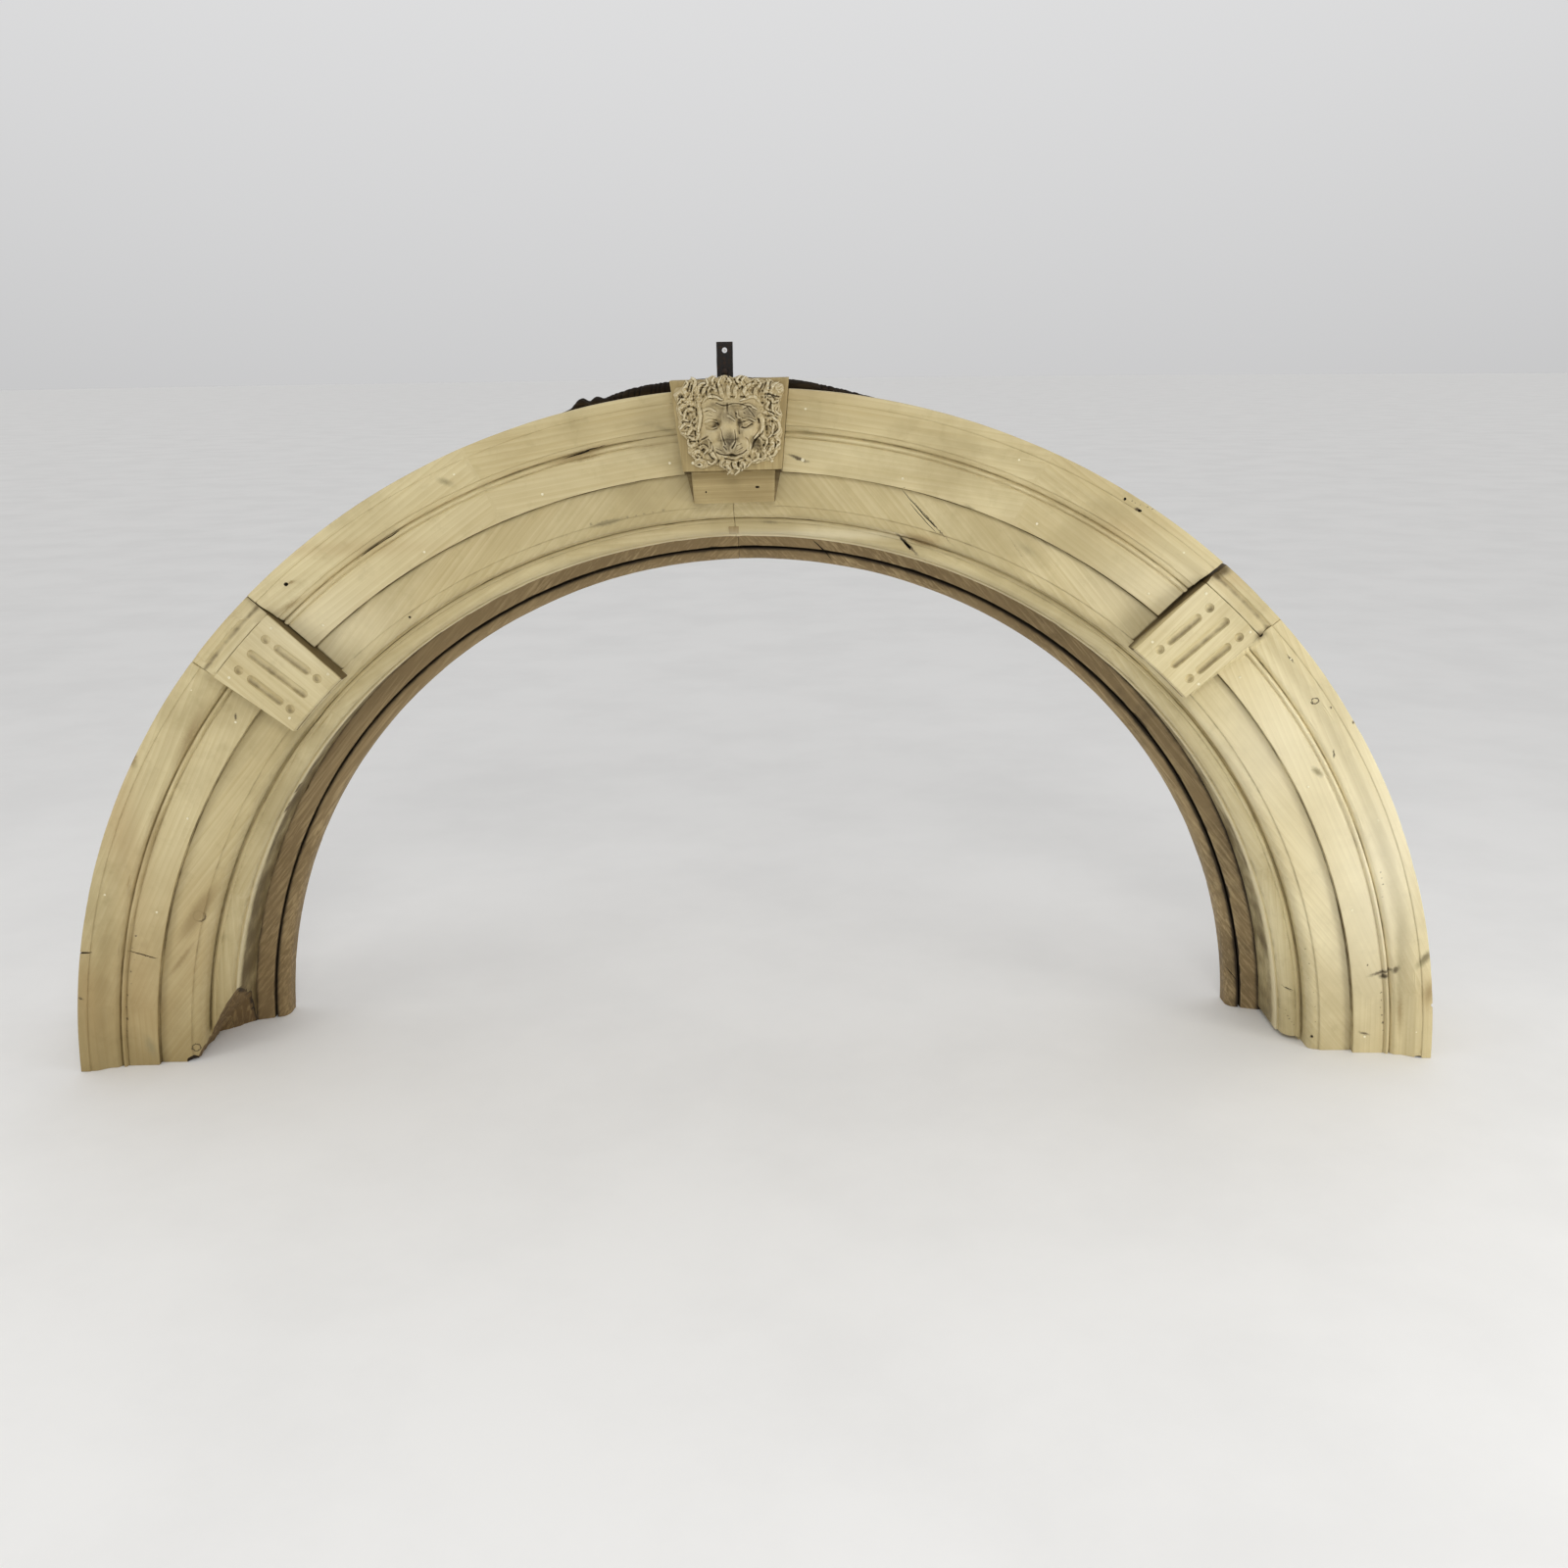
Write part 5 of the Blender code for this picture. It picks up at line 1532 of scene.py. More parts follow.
# Broad forms, softened together: middle, half width, half height, rise, tilt, fullness
FORMS = (
    ((746, 433), 36.0, 38.0, 13.0, 0.0, 0.45), ((745, 440), 28.0, 32.0, 7.0, 0.0, 0.90),
    ((723, 423), 13.0, 8.0, 6.5, 16.0, 0.9), ((765, 420), 13.0, 8.0, 6.5, -12.0, 0.9),
    ((748, 407), 28.0, 7.0, 3.0, 0.0, 0.9), ((748, 415), 22.0, 3.5, -3.0, 0.0, 0.9),
    ((744, 438), 8.5, 25.0, 7.5, 0.0, 0.55), ((746, 455), 10.5, 7.0, 6.5, 0.0, 0.55),
    ((735, 459), 12.5, 9.5, 8.0, 12.0, 0.6), ((757, 457), 12.0, 9.5, 8.0, -12.0, 0.6),
    ((746, 466), 5.0, 5.0, -4.0, 0.0, 0.8), ((726, 444), 8.5, 7.0, 4.5, -20.0, 0.8),
    ((766, 441), 8.5, 7.0, 4.5, 20.0, 0.8), ((748, 473), 14.0, 7.0, 7.0, 0.0, 0.6),
    ((728.5, 433), 10.0, 5.5, -8.5, 8.0, 0.8), ((760.5, 431.5), 10.0, 5.5, -8.5, -6.0, 0.8),
    ((725.5, 432), 5.2, 3.2, 6.5, 8.0, 0.6), ((761.5, 430.5), 5.4, 3.2, 6.5, -6.0, 0.6),
    ((771, 453), 6.0, 10.0, -9.0, 30.0, 0.8), ((719, 454), 4.5, 9.0, -7.0, -20.0, 0.8),
    ((742.5, 417), 2.5, 6.0, -3.0, 0.0, 0.8), ((694, 402), 7.5, 7.0, 6.0, 0.0, 0.6),
    ((695, 404.5), 3.4, 3.6, -7.0, 0.0, 0.7), ((790, 397.5), 11.0, 6.0, 8.0, 12.0, 0.6),
)
# Ridges: half width, rise, then the pixels they run through, from the root to the tip
RIDGES = (
    (1.9, 5.0, (706, 402), (709, 395), (709, 388), (705, 385)),
    (1.9, 5.0, (712, 404), (712, 397), (715, 392), (719, 391)),
    (1.7, 4.5, (718, 403), (718, 397), (722, 392), (720, 386)),
    (1.9, 5.0, (725, 406), (723, 400), (725, 396), (729, 397)),
    (1.7, 5.0, (731, 401), (728, 394), (727, 388), (730, 383)),
    (1.7, 5.0, (737, 404), (735, 396), (733, 390), (736, 384)),
    (1.9, 5.0, (744, 404), (743, 396), (746, 390), (742, 385)),
    (1.9, 5.5, (750, 404), (751, 397), (756, 392), (752, 388), (756, 383)),
    (1.7, 5.0, (758, 402), (760, 395), (757, 389), (760, 384)),
    (1.9, 5.0, (764, 405), (760, 399), (763, 394), (769, 391)),
    (1.9, 5.0, (771, 405), (771, 398), (776, 392), (773, 387)),
    (1.9, 5.0, (779, 403), (783, 396), (784, 391), (782, 387)),
    (1.6, 4.0, (788, 397), (790, 392), (795, 390)),
    (1.6, 4.5, (701, 403), (698, 397), (702, 392), (699, 388)),
    (1.5, 4.0, (716, 409), (722, 405), (731, 405), (737, 408)),
    (1.5, 4.0, (776, 410), (770, 405), (762, 406), (755, 408)),
    (2.0, 4.5, (707, 404), (701, 409), (696, 408), (692, 412)),
    (2.1, 4.5, (708, 412), (703, 411), (697, 414), (693, 419), (696, 424)),
    (2.0, 4.5, (709, 420), (704, 418), (699, 422), (698, 428), (702, 430)),
    (2.0, 4.5, (709, 428), (705, 434), (699, 433), (694, 438)),
    (2.0, 4.5, (711, 436), (706, 438), (702, 443), (696, 442)),
    (2.0, 4.5, (712.5, 441), (712, 446), (707, 448), (703, 446)),
    (1.8, 4.5, (711, 452), (706, 455), (702, 453), (702, 449)),
    (1.9, 4.5, (714, 458), (718, 456), (722, 459), (719, 463)),
    (1.5, 4.5, (717, 464), (712, 460), (707, 464), (710, 469), (714, 467), (712, 464.5)),
    (1.4, 4.5, (719, 472), (714, 469), (709, 472), (711, 476), (716, 475), (714, 472.5)),
    (1.7, 4.5, (724, 460), (729, 465), (731, 470), (726, 474), (722, 471)),
    (2.4, 5.0, (715, 404), (712, 412), (714.5, 424), (713, 440)),
    (2.0, 4.5, (779, 405), (785, 405), (789, 410), (794, 409)),
    (2.0, 4.5, (780, 409), (784, 411), (782, 416), (787, 419)),
    (1.9, 4.5, (790, 412), (788, 417), (792, 421), (796, 423)),
    (1.9, 4.5, (779, 419), (783, 422), (788, 424), (792, 428)),
    (1.7, 4.5, (780, 429), (788, 427), (794, 430), (795, 438), (790, 444)),
    (1.6, 4.5, (784, 431), (789, 435), (788, 442), (784, 447)),
    (1.9, 4.5, (779, 436), (778, 444), (783, 450), (780, 457)),
    (1.8, 4.5, (797, 438), (792, 446), (796, 451), (791, 457)),
    (1.8, 4.5, (787, 449), (788, 456), (784, 461), (787, 468)),
    (1.8, 4.5, (778, 457), (782, 463), (778, 468), (773, 467)),
    (1.6, 4.0, (793, 458), (790, 464), (785, 466)), (1.8, 4.5, (772, 461), (773, 467), (768, 471)),
    (2.2, 5.0, (776, 424), (779, 432), (776, 440), (770, 447)),
    (1.9, 4.5, (744, 470), (742, 475), (745, 480), (742, 484)),
    (1.9, 4.5, (750, 470), (750, 476), (754, 480), (750, 485)),
    (1.8, 4.5, (756, 470), (760, 475), (757, 481)), (1.7, 4.0, (738, 469), (735, 474), (739, 479)),
    (1.7, 4.0, (762, 467), (766, 472), (762, 477)), (1.1, 1.8, (742, 423), (746, 425), (750, 428.5)),
    (1.1, 1.8, (752, 418), (753, 425), (757, 427)), (1.3, 2.2, (755, 429), (763, 427), (771, 429.5)),
    (1.3, 2.2, (719, 431.5), (725, 428.5), (732, 430.5)),
    (1.2, 1.8, (720, 435), (726, 437), (732, 435.5)),
    (1.1, 1.8, (757, 432.5), (761, 434.5), (767, 431.5)),
    (1.5, 2.6, (739, 465), (748, 466.5), (757, 465)), (1.5, 2.2, (717, 419), (723, 416.5), (731, 419)),
    (1.5, 2.2, (757, 415), (764, 413), (772, 417)),
)
# Grooves and pits: half width, depth, then their pixels
GROOVES = (
    (0.8, 4.0, (701, 399), (704, 391)), (0.8, 4.0, (704, 400), (706, 393)),
    (0.8, 4.0, (726.5, 395), (729, 390)), (0.9, 4.0, (731, 393), (734, 386)),
    (1.0, 4.0, (740, 390), (743, 384)), (0.9, 4.0, (749, 387), (752, 392), (755, 397)),
    (0.9, 4.0, (766, 393), (770, 388)), (0.9, 4.0, (780, 394), (783, 388)),
    (0.8, 4.0, (785, 394), (787, 389)), (0.8, 3.5, (721, 400), (723, 396)),
    (0.8, 3.5, (775, 399), (779, 392)), (0.8, 3.5, (714, 400), (717, 395)),
    (1.2, 5.0, (746, 405), (749, 405)), (1.2, 5.0, (756, 404.5), (759, 404.5)),
    (1.1, 4.5, (761, 405.5), (763, 405.5)), (0.7, 1.8, (725, 406.5), (735, 408.5), (745, 407)),
    (0.8, 2.4, (731, 411), (740, 414), (750, 411), (767, 415)), (1.2, 3.5, (777, 410.5), (778, 411)),
    (0.9, 4.0, (707.5, 400), (707.5, 410)), (0.9, 4.0, (710, 409), (711, 415)),
    (1.0, 4.0, (707.5, 416), (708, 417)), (1.0, 4.0, (710.5, 419), (710.5, 424)),
    (1.1, 4.5, (709, 427), (706.5, 431), (709, 435)), (1.2, 4.5, (702, 415), (703, 415)),
    (1.3, 5.0, (701, 422), (702, 424)), (1.0, 4.0, (696.5, 431), (697, 431.5)),
    (0.6, 1.3, (718, 420), (722, 419), (726, 421)), (0.6, 1.3, (721, 423), (727, 424)),
    (0.8, 2.4, (742.5, 412), (742.5, 419)), (0.9, 2.0, (751.5, 421), (751.8, 422)),
    (0.9, 2.2, (754, 428.5), (754.5, 429)), (0.9, 1.8, (759.5, 420.5), (760, 421)),
    (0.7, 1.8, (762, 414), (770, 425)), (0.8, 2.4, (721, 436.5), (727, 438), (732, 436.5)),
    (1.3, 3.0, (732.5, 432), (733.5, 433)), (1.0, 2.6, (758.5, 429.5), (760, 429.8)),
    (0.9, 2.6, (757, 435.5), (761, 436.5), (768, 433)), (1.4, 4.0, (774.5, 428), (774.5, 431)),
    (0.9, 3.0, (735.5, 437), (737, 441), (738.5, 447), (741, 453)), (0.8, 2.2, (750.5, 438), (751, 450)),
    (1.4, 2.2, (754, 431), (755, 442)), (1.0, 4.0, (750.5, 451), (748, 456)),
    (0.9, 3.2, (739.5, 455), (742, 457.5)), (0.7, 1.6, (752, 459), (758, 456)),
    (0.7, 1.6, (752, 454), (757, 452)), (0.7, 1.6, (737, 459), (731, 457)),
    (0.9, 3.0, (723, 448), (726.5, 453), (728, 459), (725, 462)),
    (0.9, 3.0, (761, 446), (764, 450), (764.5, 459)),
    (1.6, 5.0, (779, 440), (773, 446), (769, 452), (767, 458), (764, 466)),
    (1.8, 5.0, (780, 454), (782, 455)),
    (1.1, 4.0, (731, 461), (736, 463), (743, 464), (751, 463.5), (758, 462), (762, 459)),
    (1.0, 3.4, (740, 467.5), (750, 469), (758, 467.5)), (1.0, 4.0, (757.5, 473), (758.5, 479)),
    (0.9, 3.6, (747, 472), (748, 479)), (0.9, 3.4, (740.5, 471), (740, 477)),
    (1.0, 4.0, (709.5, 440), (709.5, 447)), (1.3, 4.0, (715, 450), (722, 445)),
    (1.0, 4.0, (712, 450), (713, 455)), (1.0, 3.6, (725, 452), (725, 457)),
    (1.1, 4.0, (715, 467), (716, 467)), (1.1, 4.0, (724, 463), (727, 468)),
    (1.0, 4.0, (783, 421), (783.5, 424)), (1.0, 4.0, (790, 418), (793, 423)),
    (1.1, 4.0, (781, 428), (781, 433)), (1.5, 4.5, (782.5, 435), (782.5, 442)),
    (1.1, 4.0, (791, 451), (791, 457)), (1.1, 4.0, (793.5, 460), (794, 460)),
    (0.9, 3.4, (784, 452), (784, 459)), (0.9, 3.4, (776, 470), (780, 466)),
    (1.1, 5.0, (781, 401.5), (787, 402.5), (790, 404), (794.5, 405)), (0.9, 3.6, (787, 412), (786, 417)),
    (0.9, 3.6, (699, 438), (703, 436)), (0.9, 3.6, (704, 451), (708, 450)),
    (1.1, 3.4, (753.5, 471), (753.5, 477)),
)
# Darker places, painted shade under the brows, in the eye sockets and round the nose and mouth, and a darker
# patina on the face: middle, half width, half height, strength
SHADES = (
    ((745, 450), 12.0, 16.0, 0.55), ((744, 423), 32.0, 12.0, 0.4), ((766, 421), 13.0, 12.0, 0.5),
    ((756, 436), 6.0, 13.0, 0.34), ((744, 458), 22.0, 10.0, 0.42), ((772, 452), 8.0, 11.0, 0.52),
    ((695, 404.5), 4.0, 4.0, 0.55), ((745, 412.5), 28.0, 4.0, 0.42), ((721, 451), 6.0, 8.0, 0.36),
    ((731, 433), 6.0, 4.0, 0.5), ((756, 430), 6.0, 4.0, 0.45), ((744, 463), 16.0, 3.0, 0.4),
    ((746, 455), 7.0, 4.0, 0.42), ((785, 404), 9.0, 3.0, 0.5), ((734, 445), 3.0, 9.0, 0.3),
)


def dome(u, v, centre, size, height, tilt, fullness):
    """A smooth swelling on an ellipse."""
    turn = math.radians(tilt)
    along = (u - centre[0]) * math.cos(turn) + (v - centre[1]) * math.sin(turn)
    over = (v - centre[1]) * math.cos(turn) - (u - centre[0]) * math.sin(turn)
    reach = (along / size[0]) ** 2 + (over / size[1]) ** 2
    return height * np.clip(1.0 - reach, 0.0, 1.0) ** fullness


def smooth_route(points):
    """A curve through the points, with five pieces between two of them."""
    pieces = 5
    points = [np.array(point, float) for point in points]
    padded = [points[0] * 2 - points[1]] + points + [points[-1] * 2 - points[-2]]
    route = []
    for a, b, c, d in zip(padded, padded[1:], padded[2:], padded[3:]):
        for step in range(pieces):
            t = step / pieces
            route.append(0.5 * (2 * b + (c - a) * t + (2 * a - 5 * b + 4 * c - d) * t * t
                                + (3 * b - a - 3 * c + d) * t ** 3))
    route.append(points[-1])
    return route


def along_route(u, v, route):
    """How far along a route each point lies, from 0 to 1, and its distance from it."""
    nearest = np.full(u.shape, 1e9)
    share = np.zeros(u.shape)
    count = len(route) - 1
    for number, (here, after) in enumerate(zip(route, route[1:])):
        step = after - here
        across = u - here[0]
        up = v - here[1]
        part = np.clip((across * step[0] + up * step[1]) / (step @ step), 0.0, 1.0)
        away = np.hypot(across - step[0] * part, up - step[1] * part)
        closer = away < nearest
        nearest = np.where(closer, away, nearest)
        share = np.where(closer, (number + part) / count, share)
    return share, nearest


def window(u, v, route, margin):
    """The part of the grid near a route."""
    places = np.array(route)
    rows = np.flatnonzero((v[:, 0] > places[:, 1].min() - margin) & (v[:, 0] < places[:, 1].max() + margin))
    columns = np.flatnonzero((u[0] > places[:, 0].min() - margin) & (u[0] < places[:, 0].max() + margin))
    return slice(rows[0], rows[-1] + 1), slice(columns[0], columns[-1] + 1)


def on_mask(pixel):
    """Place on the mask, in millimetres across and up from its middle, of a photo pixel."""
    place = on_depth(pixel, KEY_FRONT_DEPTH - 0.012)
    local = world_to_local(np.array([place]), KEY_DIRECTION)[0]
    return np.array((local[0], local[1] - MASK_MIDDLE)) / MILLIMETRE


def within(u, v, outline):
    """Which points lie inside a closed outline."""
    inside = np.zeros(u.shape, bool)
    for here, after in zip(outline, outline[1:]):
        if here[1] == after[1]:
            continue
        level = (v > min(here[1], after[1])) & (v <= max(here[1], after[1]))
        crossing = here[0] + (v - here[1]) * (after[0] - here[0]) / (after[1] - here[1])
        inside ^= level & (u < crossing)
    return inside


def mask_relief():
    """The heights of the lion mask on a grid, its painted shade and darker patina at each place, and the two
    axes of the grid.
    """
    across = np.arange(-MASK_HALF_WIDTH, MASK_HALF_WIDTH + 0.1, MASK_SPACING)
    up = np.arange(-MASK_HALF_HEIGHT, MASK_HALF_HEIGHT + 0.1, MASK_SPACING)
    flat_u, flat_v = np.meshgrid(across, up)
    place = np.stack((flat_u, flat_v, np.zeros_like(flat_u)), axis=-1)
    u = flat_u + 0.7 * noise(place, 7.0, 301)
    v = flat_v + 0.7 * noise(place, 7.0, 302)
    outline = [on_mask(pixel) for pixel in MANE]
    pad = np.where(within(u, v, outline), along_route(u, v, outline)[1], 0.0)
    field = 10.0 * np.clip(pad / 7.0, 0.0, 1.0) ** 0.5
    forms = np.zeros(u.shape)
    face = np.zeros(u.shape)
    for middle, half_width, half_height, rise, tilt, fullness in FORMS:
        size = (half_width * PIXEL, half_height * PIXEL)
        swell = dome(u, v, on_mask(middle), size, rise, tilt, fullness)
        forms = forms + swell
        face = np.maximum(face, swell * (half_width > 30.0))
    field = np.maximum(field + blurred(forms, 14), 0.0)
    mane = np.clip(1.0 - face / 8.0, 0.0, 1.0) * np.clip(pad / 3.0, 0.0, 1.0)
    curls = 1.0 - np.abs(noise(place + 2.0 * noise(place, 5.0, 305)[..., None], 4.2, 306)) * 2.6
    field = field + mane * 1.8 * np.clip(curls, -1.0, 1.0)
    for half, rise, *pixels in RIDGES:
        route = smooth_route([on_mask(pixel) for pixel in pixels])
        part = window(flat_u, flat_v, route, 8.0)
        share, away = along_route(u[part], v[part], route)
        reach = half * PIXEL * 1.25 * np.clip(1.15 - share, 0.1, 1.0) ** 0.5
        crown = np.clip(1.0 - (away / reach) ** 2, 0.0, 1.0) ** 0.6
        trench = np.clip(1.0 - np.abs(away / reach - 1.25) / 0.45, 0.0, 1.0) * min(rise, 3.0) * 0.35
        field[part] += (rise * crown - trench) * np.clip(share * 6.0 + 0.3, 0.0, 1.0)
    for half, depth, *pixels in GROOVES:
        route = smooth_route([on_mask(pixel) for pixel in pixels])
        part = window(flat_u, flat_v, route, 8.0)
        share, away = along_route(u[part], v[part], route)
        field[part] -= depth * np.exp(-(away / (half * PIXEL * 0.8)) ** 2)
    field = blurred(field, 1)
    field = field + (0.22 * noise(place, 3.0, 303) + 0.12 * noise(place, 1.2, 304)) * (field > MASK_EDGE)
    shade = np.zeros(u.shape)
    for middle, half_width, half_height, strength in SHADES:
        size = (half_width * PIXEL, half_height * PIXEL)
        shade = np.maximum(shade, dome(u, v, on_mask(middle), size, strength, 0.0, 0.7))
    return across, up, field * (MASK_RELIEF / field.max()), shade


def blurred(field, times):
    """A grid averaged with its neighbours, several times."""
    for _ in range(times):
        padded = np.pad(field, 1, mode="edge")
        field = (padded[1:-1, 1:-1] * 4.0 + padded[:-2, 1:-1] + padded[2:, 1:-1]
                 + padded[1:-1, :-2] + padded[1:-1, 2:]) / 8.0
    return field


def build_mask(finish):
    across, up, field, shade = mask_relief()
    kept = field > MASK_EDGE
    cells = kept[:-1, :-1] & kept[1:, :-1] & kept[:-1, 1:] & kept[1:, 1:]
    index = np.arange(field.size).reshape(field.shape)
    quads = np.stack((index[:-1, :-1], index[:-1, 1:], index[1:, 1:], index[1:, :-1]), axis=-1)[cells]
    u, v = np.meshgrid(across, up)
    front = KEY_FRONT_DEPTH - JOINT_GAP
    place = (u * MILLIMETRE, MASK_MIDDLE + v * MILLIMETRE, front - field * MILLIMETRE)
    points = local_to_world(*place, KEY_DIRECTION)
    used, renumbered = np.unique(quads, return_inverse=True)
    shape = bmesh.new()
    verts = [shape.verts.new(place) for place in points.reshape(-1, 3)[used]]
    for row in renumbered.reshape(-1, 4):
        shape.faces.new([verts[i] for i in row])
    keep_largest(shape)
    bmesh.ops.smooth_vert(shape, verts=shape.verts, factor=0.5, use_axis_x=True, use_axis_y=True,
                          use_axis_z=True)
    rim = [edge for edge in shape.edges if edge.is_boundary]
    wall = bmesh.ops.extrude_edge_only(shape, edges=rim)["geom"]
    for vert in wall:
        if isinstance(vert, bmesh.types.BMVert):
            vert.co.y = FACE_Y + front
    bmesh.ops.holes_fill(shape, edges=[edge for edge in shape.edges if edge.is_boundary], sides=0)
    mesh = bpy.data.meshes.new("lion_mask_carved")
    bmesh.ops.recalc_face_normals(shape, faces=shape.faces)
    shape.to_mesh(mesh)
    shape.free()
    mask = finished_object("lion_mask_carved", mesh, finish["lion"], 60.0)
    # Hollow places get painted shade, raised places a painted highlight with wear
    hollow = blurred(field, 8) - field
    broad = blurred(field, 60) - field

    def sample(grid, points):
        local = world_to_local(points, KEY_DIRECTION)
        column = (local[:, 0] / MILLIMETRE + MASK_HALF_WIDTH) / MASK_SPACING
        row = ((local[:, 1] - MASK_MIDDLE) / MILLIMETRE + MASK_HALF_HEIGHT) / MASK_SPACING
        row = np.clip(np.round(row), 0, grid.shape[0] - 1).astype(int)
        column = np.clip(np.round(column), 0, grid.shape[1] - 1).astype(int)
        return grid[row, column]

    # Painted shade in hollows and deep places, with the shade and patina of SHADES
    def grime_and_shade(points):
        deep = np.clip(sample(broad, points) - 0.6, 0.0, 9.0)
        return np.clip(sample(shade, points) * 1.3 + sample(hollow, points) * 0.55 + deep * 0.16, 0.0, 0.93)

    # Raised places paler: painted highlight and wear
    def pale(points):
        return np.clip(-sample(hollow, points) * 0.60 - sample(broad, points) * 0.05, 0.0, 0.6)

    paint(mask, straight_grain(KEY_DIRECTION + 90.0, 4), grime_and_shade, pale)
    settle(mask, "carved_pine", "lion_mask")


def keep_largest(shape):
    """Deletes every island of faces but the largest."""
    left = set(shape.faces)
    islands = []
    while left:
        first = left.pop()
        island = [first]
        stack = [first]
        while stack:
            for edge in stack.pop().edges:
                for face in edge.link_faces:
                    if face in left:
                        left.remove(face)
                        island.append(face)
                        stack.append(face)
        islands.append(island)
    islands.sort(key=len)
    for island in islands[:-1]:
        bmesh.ops.delete(shape, geom=island, context="FACES")


# The carved strip behind the top, the iron strap, the patch and the nails

# Top of the carved strip: angle in degrees and radius
CREST_TOP = (
    (79.8, 1.1003), (80.8, 1.1016), (81.4, 1.1036), (81.8, 1.1032), (82.3, 1.1058), (82.8, 1.1052),
    (83.4, 1.1078), (83.9, 1.1080), (84.8, 1.1108), (86.0, 1.1126), (88.0, 1.1140), (91.0, 1.1146),
    (95.0, 1.1148), (97.4, 1.1150), (98.6, 1.1136), (99.9, 1.1108), (100.8, 1.1072), (101.1, 1.1066),
    (101.5, 1.1120), (101.9, 1.1098), (102.2, 1.1042), (102.5, 1.1142), (102.9, 1.1136), (103.3, 1.1090),
    (103.6, 1.1030), (104.6, 1.1003),
)
CREST_GOUGES = ((94.6, 97.4, 7), (97.8, 100.6, 6), (80.6, 84.4, 6))
CREST_FRONT_DEPTH = 0.045
CREST_BACK_DEPTH = 0.115
STRAP_X = -0.036
STRAP_WIDTH = 0.026
STRAP_THICKNESS = 0.005
STRAP_TOP = 1.1345
STRAP_LENGTH = 0.190
STRAP_HOLES = (0.013, 0.046, 0.120, 0.170)
STRAP_HOLE_RADIUS = 0.0042


def build_crest(finish):
    """A weathered strip with a smooth worn top, slanted gouges and a bud at its left end."""
    floor = BODY_OUTER_RADIUS + JOINT_GAP
    middle = (CREST_FRONT_DEPTH + CREST_BACK_DEPTH) / 2.0
    half = (CREST_BACK_DEPTH - CREST_FRONT_DEPTH) / 2.0
    stations = 620
    around = 44
    first, last = CREST_TOP[0][0], CREST_TOP[-1][0]
    angle = np.linspace(first, last, stations)[:, None]
    turn = np.linspace(0.0, math.pi, around)[None, :]
    top = np.interp(angle[:, 0], [row[0] for row in CREST_TOP], [row[1] for row in CREST_TOP])
    for _ in range(30):
        top[1:-1] = (top[:-2] + 2.0 * top[1:-1] + top[2:]) / 4.0
    top = top[:, None]
    height = np.maximum(top - floor, 0.0006)
    full = np.minimum(1.0, np.minimum(angle - first, last - angle) / 1.2)
    width = half * (0.50 + 0.50 * full)
    radius = floor + height * np.sin(turn) ** 0.45
    depth = middle - width * np.cos(turn)
    cut = np.zeros(radius.shape)
    for low, high, count in CREST_GOUGES:
        for number in range(count):
            place = low + (high - low) * (number + 0.5) / count + 0.08 * math.sin(number * 5.0)
            slanted = angle - place + 0.55 * (turn / math.pi - 0.25) * (1.0 if place > 90.0 else -1.0)
            cut = np.maximum(cut, np.exp(-(slanted / 0.075) ** 2) * np.clip(1.3 - turn / 1.7, 0.0, 1.0))
    cut = cut * np.sin(turn) ** 0.3
    points = from_polar(radius, depth, angle)
    bump = 0.0011 * rough(points, 0.014, 402) + 0.0004 * noise(points, 0.003, 403)
    grain = np.clip(noise(points, (0.030, 0.006, 0.006), 404) - 0.30, 0.0, 1.0) * 0.0024
    worn = radius + (bump - grain - 0.0030 * cut - 0.0010) * np.sin(turn)
    points = from_polar(np.maximum(worn, floor), depth + 0.0022 * cut * np.sin(turn), angle)
    crest = make_mesh("carved_crest_worn", points, loop_faces(stations, around), finish["crest"], 50.0)

    # Painted shade in the gouges
    def grime_and_shade(found):
        return np.clip(cut.ravel()[:len(found)] * 0.9, 0.0, 0.9)

    paint(crest, straight_grain(92.2, 3), grime_and_shade)
    settle(crest, "dark_carving", "carved_crest")


def cylinder(centre, radius, low, high):
    """A closed cylinder along the depth, between two depths in world Y."""
    sides = 40
    turns = [2.0 * math.pi * k / sides for k in range(sides)]
    rim = [(centre[0] + radius * math.cos(t), centre[1] + radius * math.sin(t)) for t in turns]
    return [(x, y, z) for y in (low, high) for x, z in rim], loop_faces(2, sides)


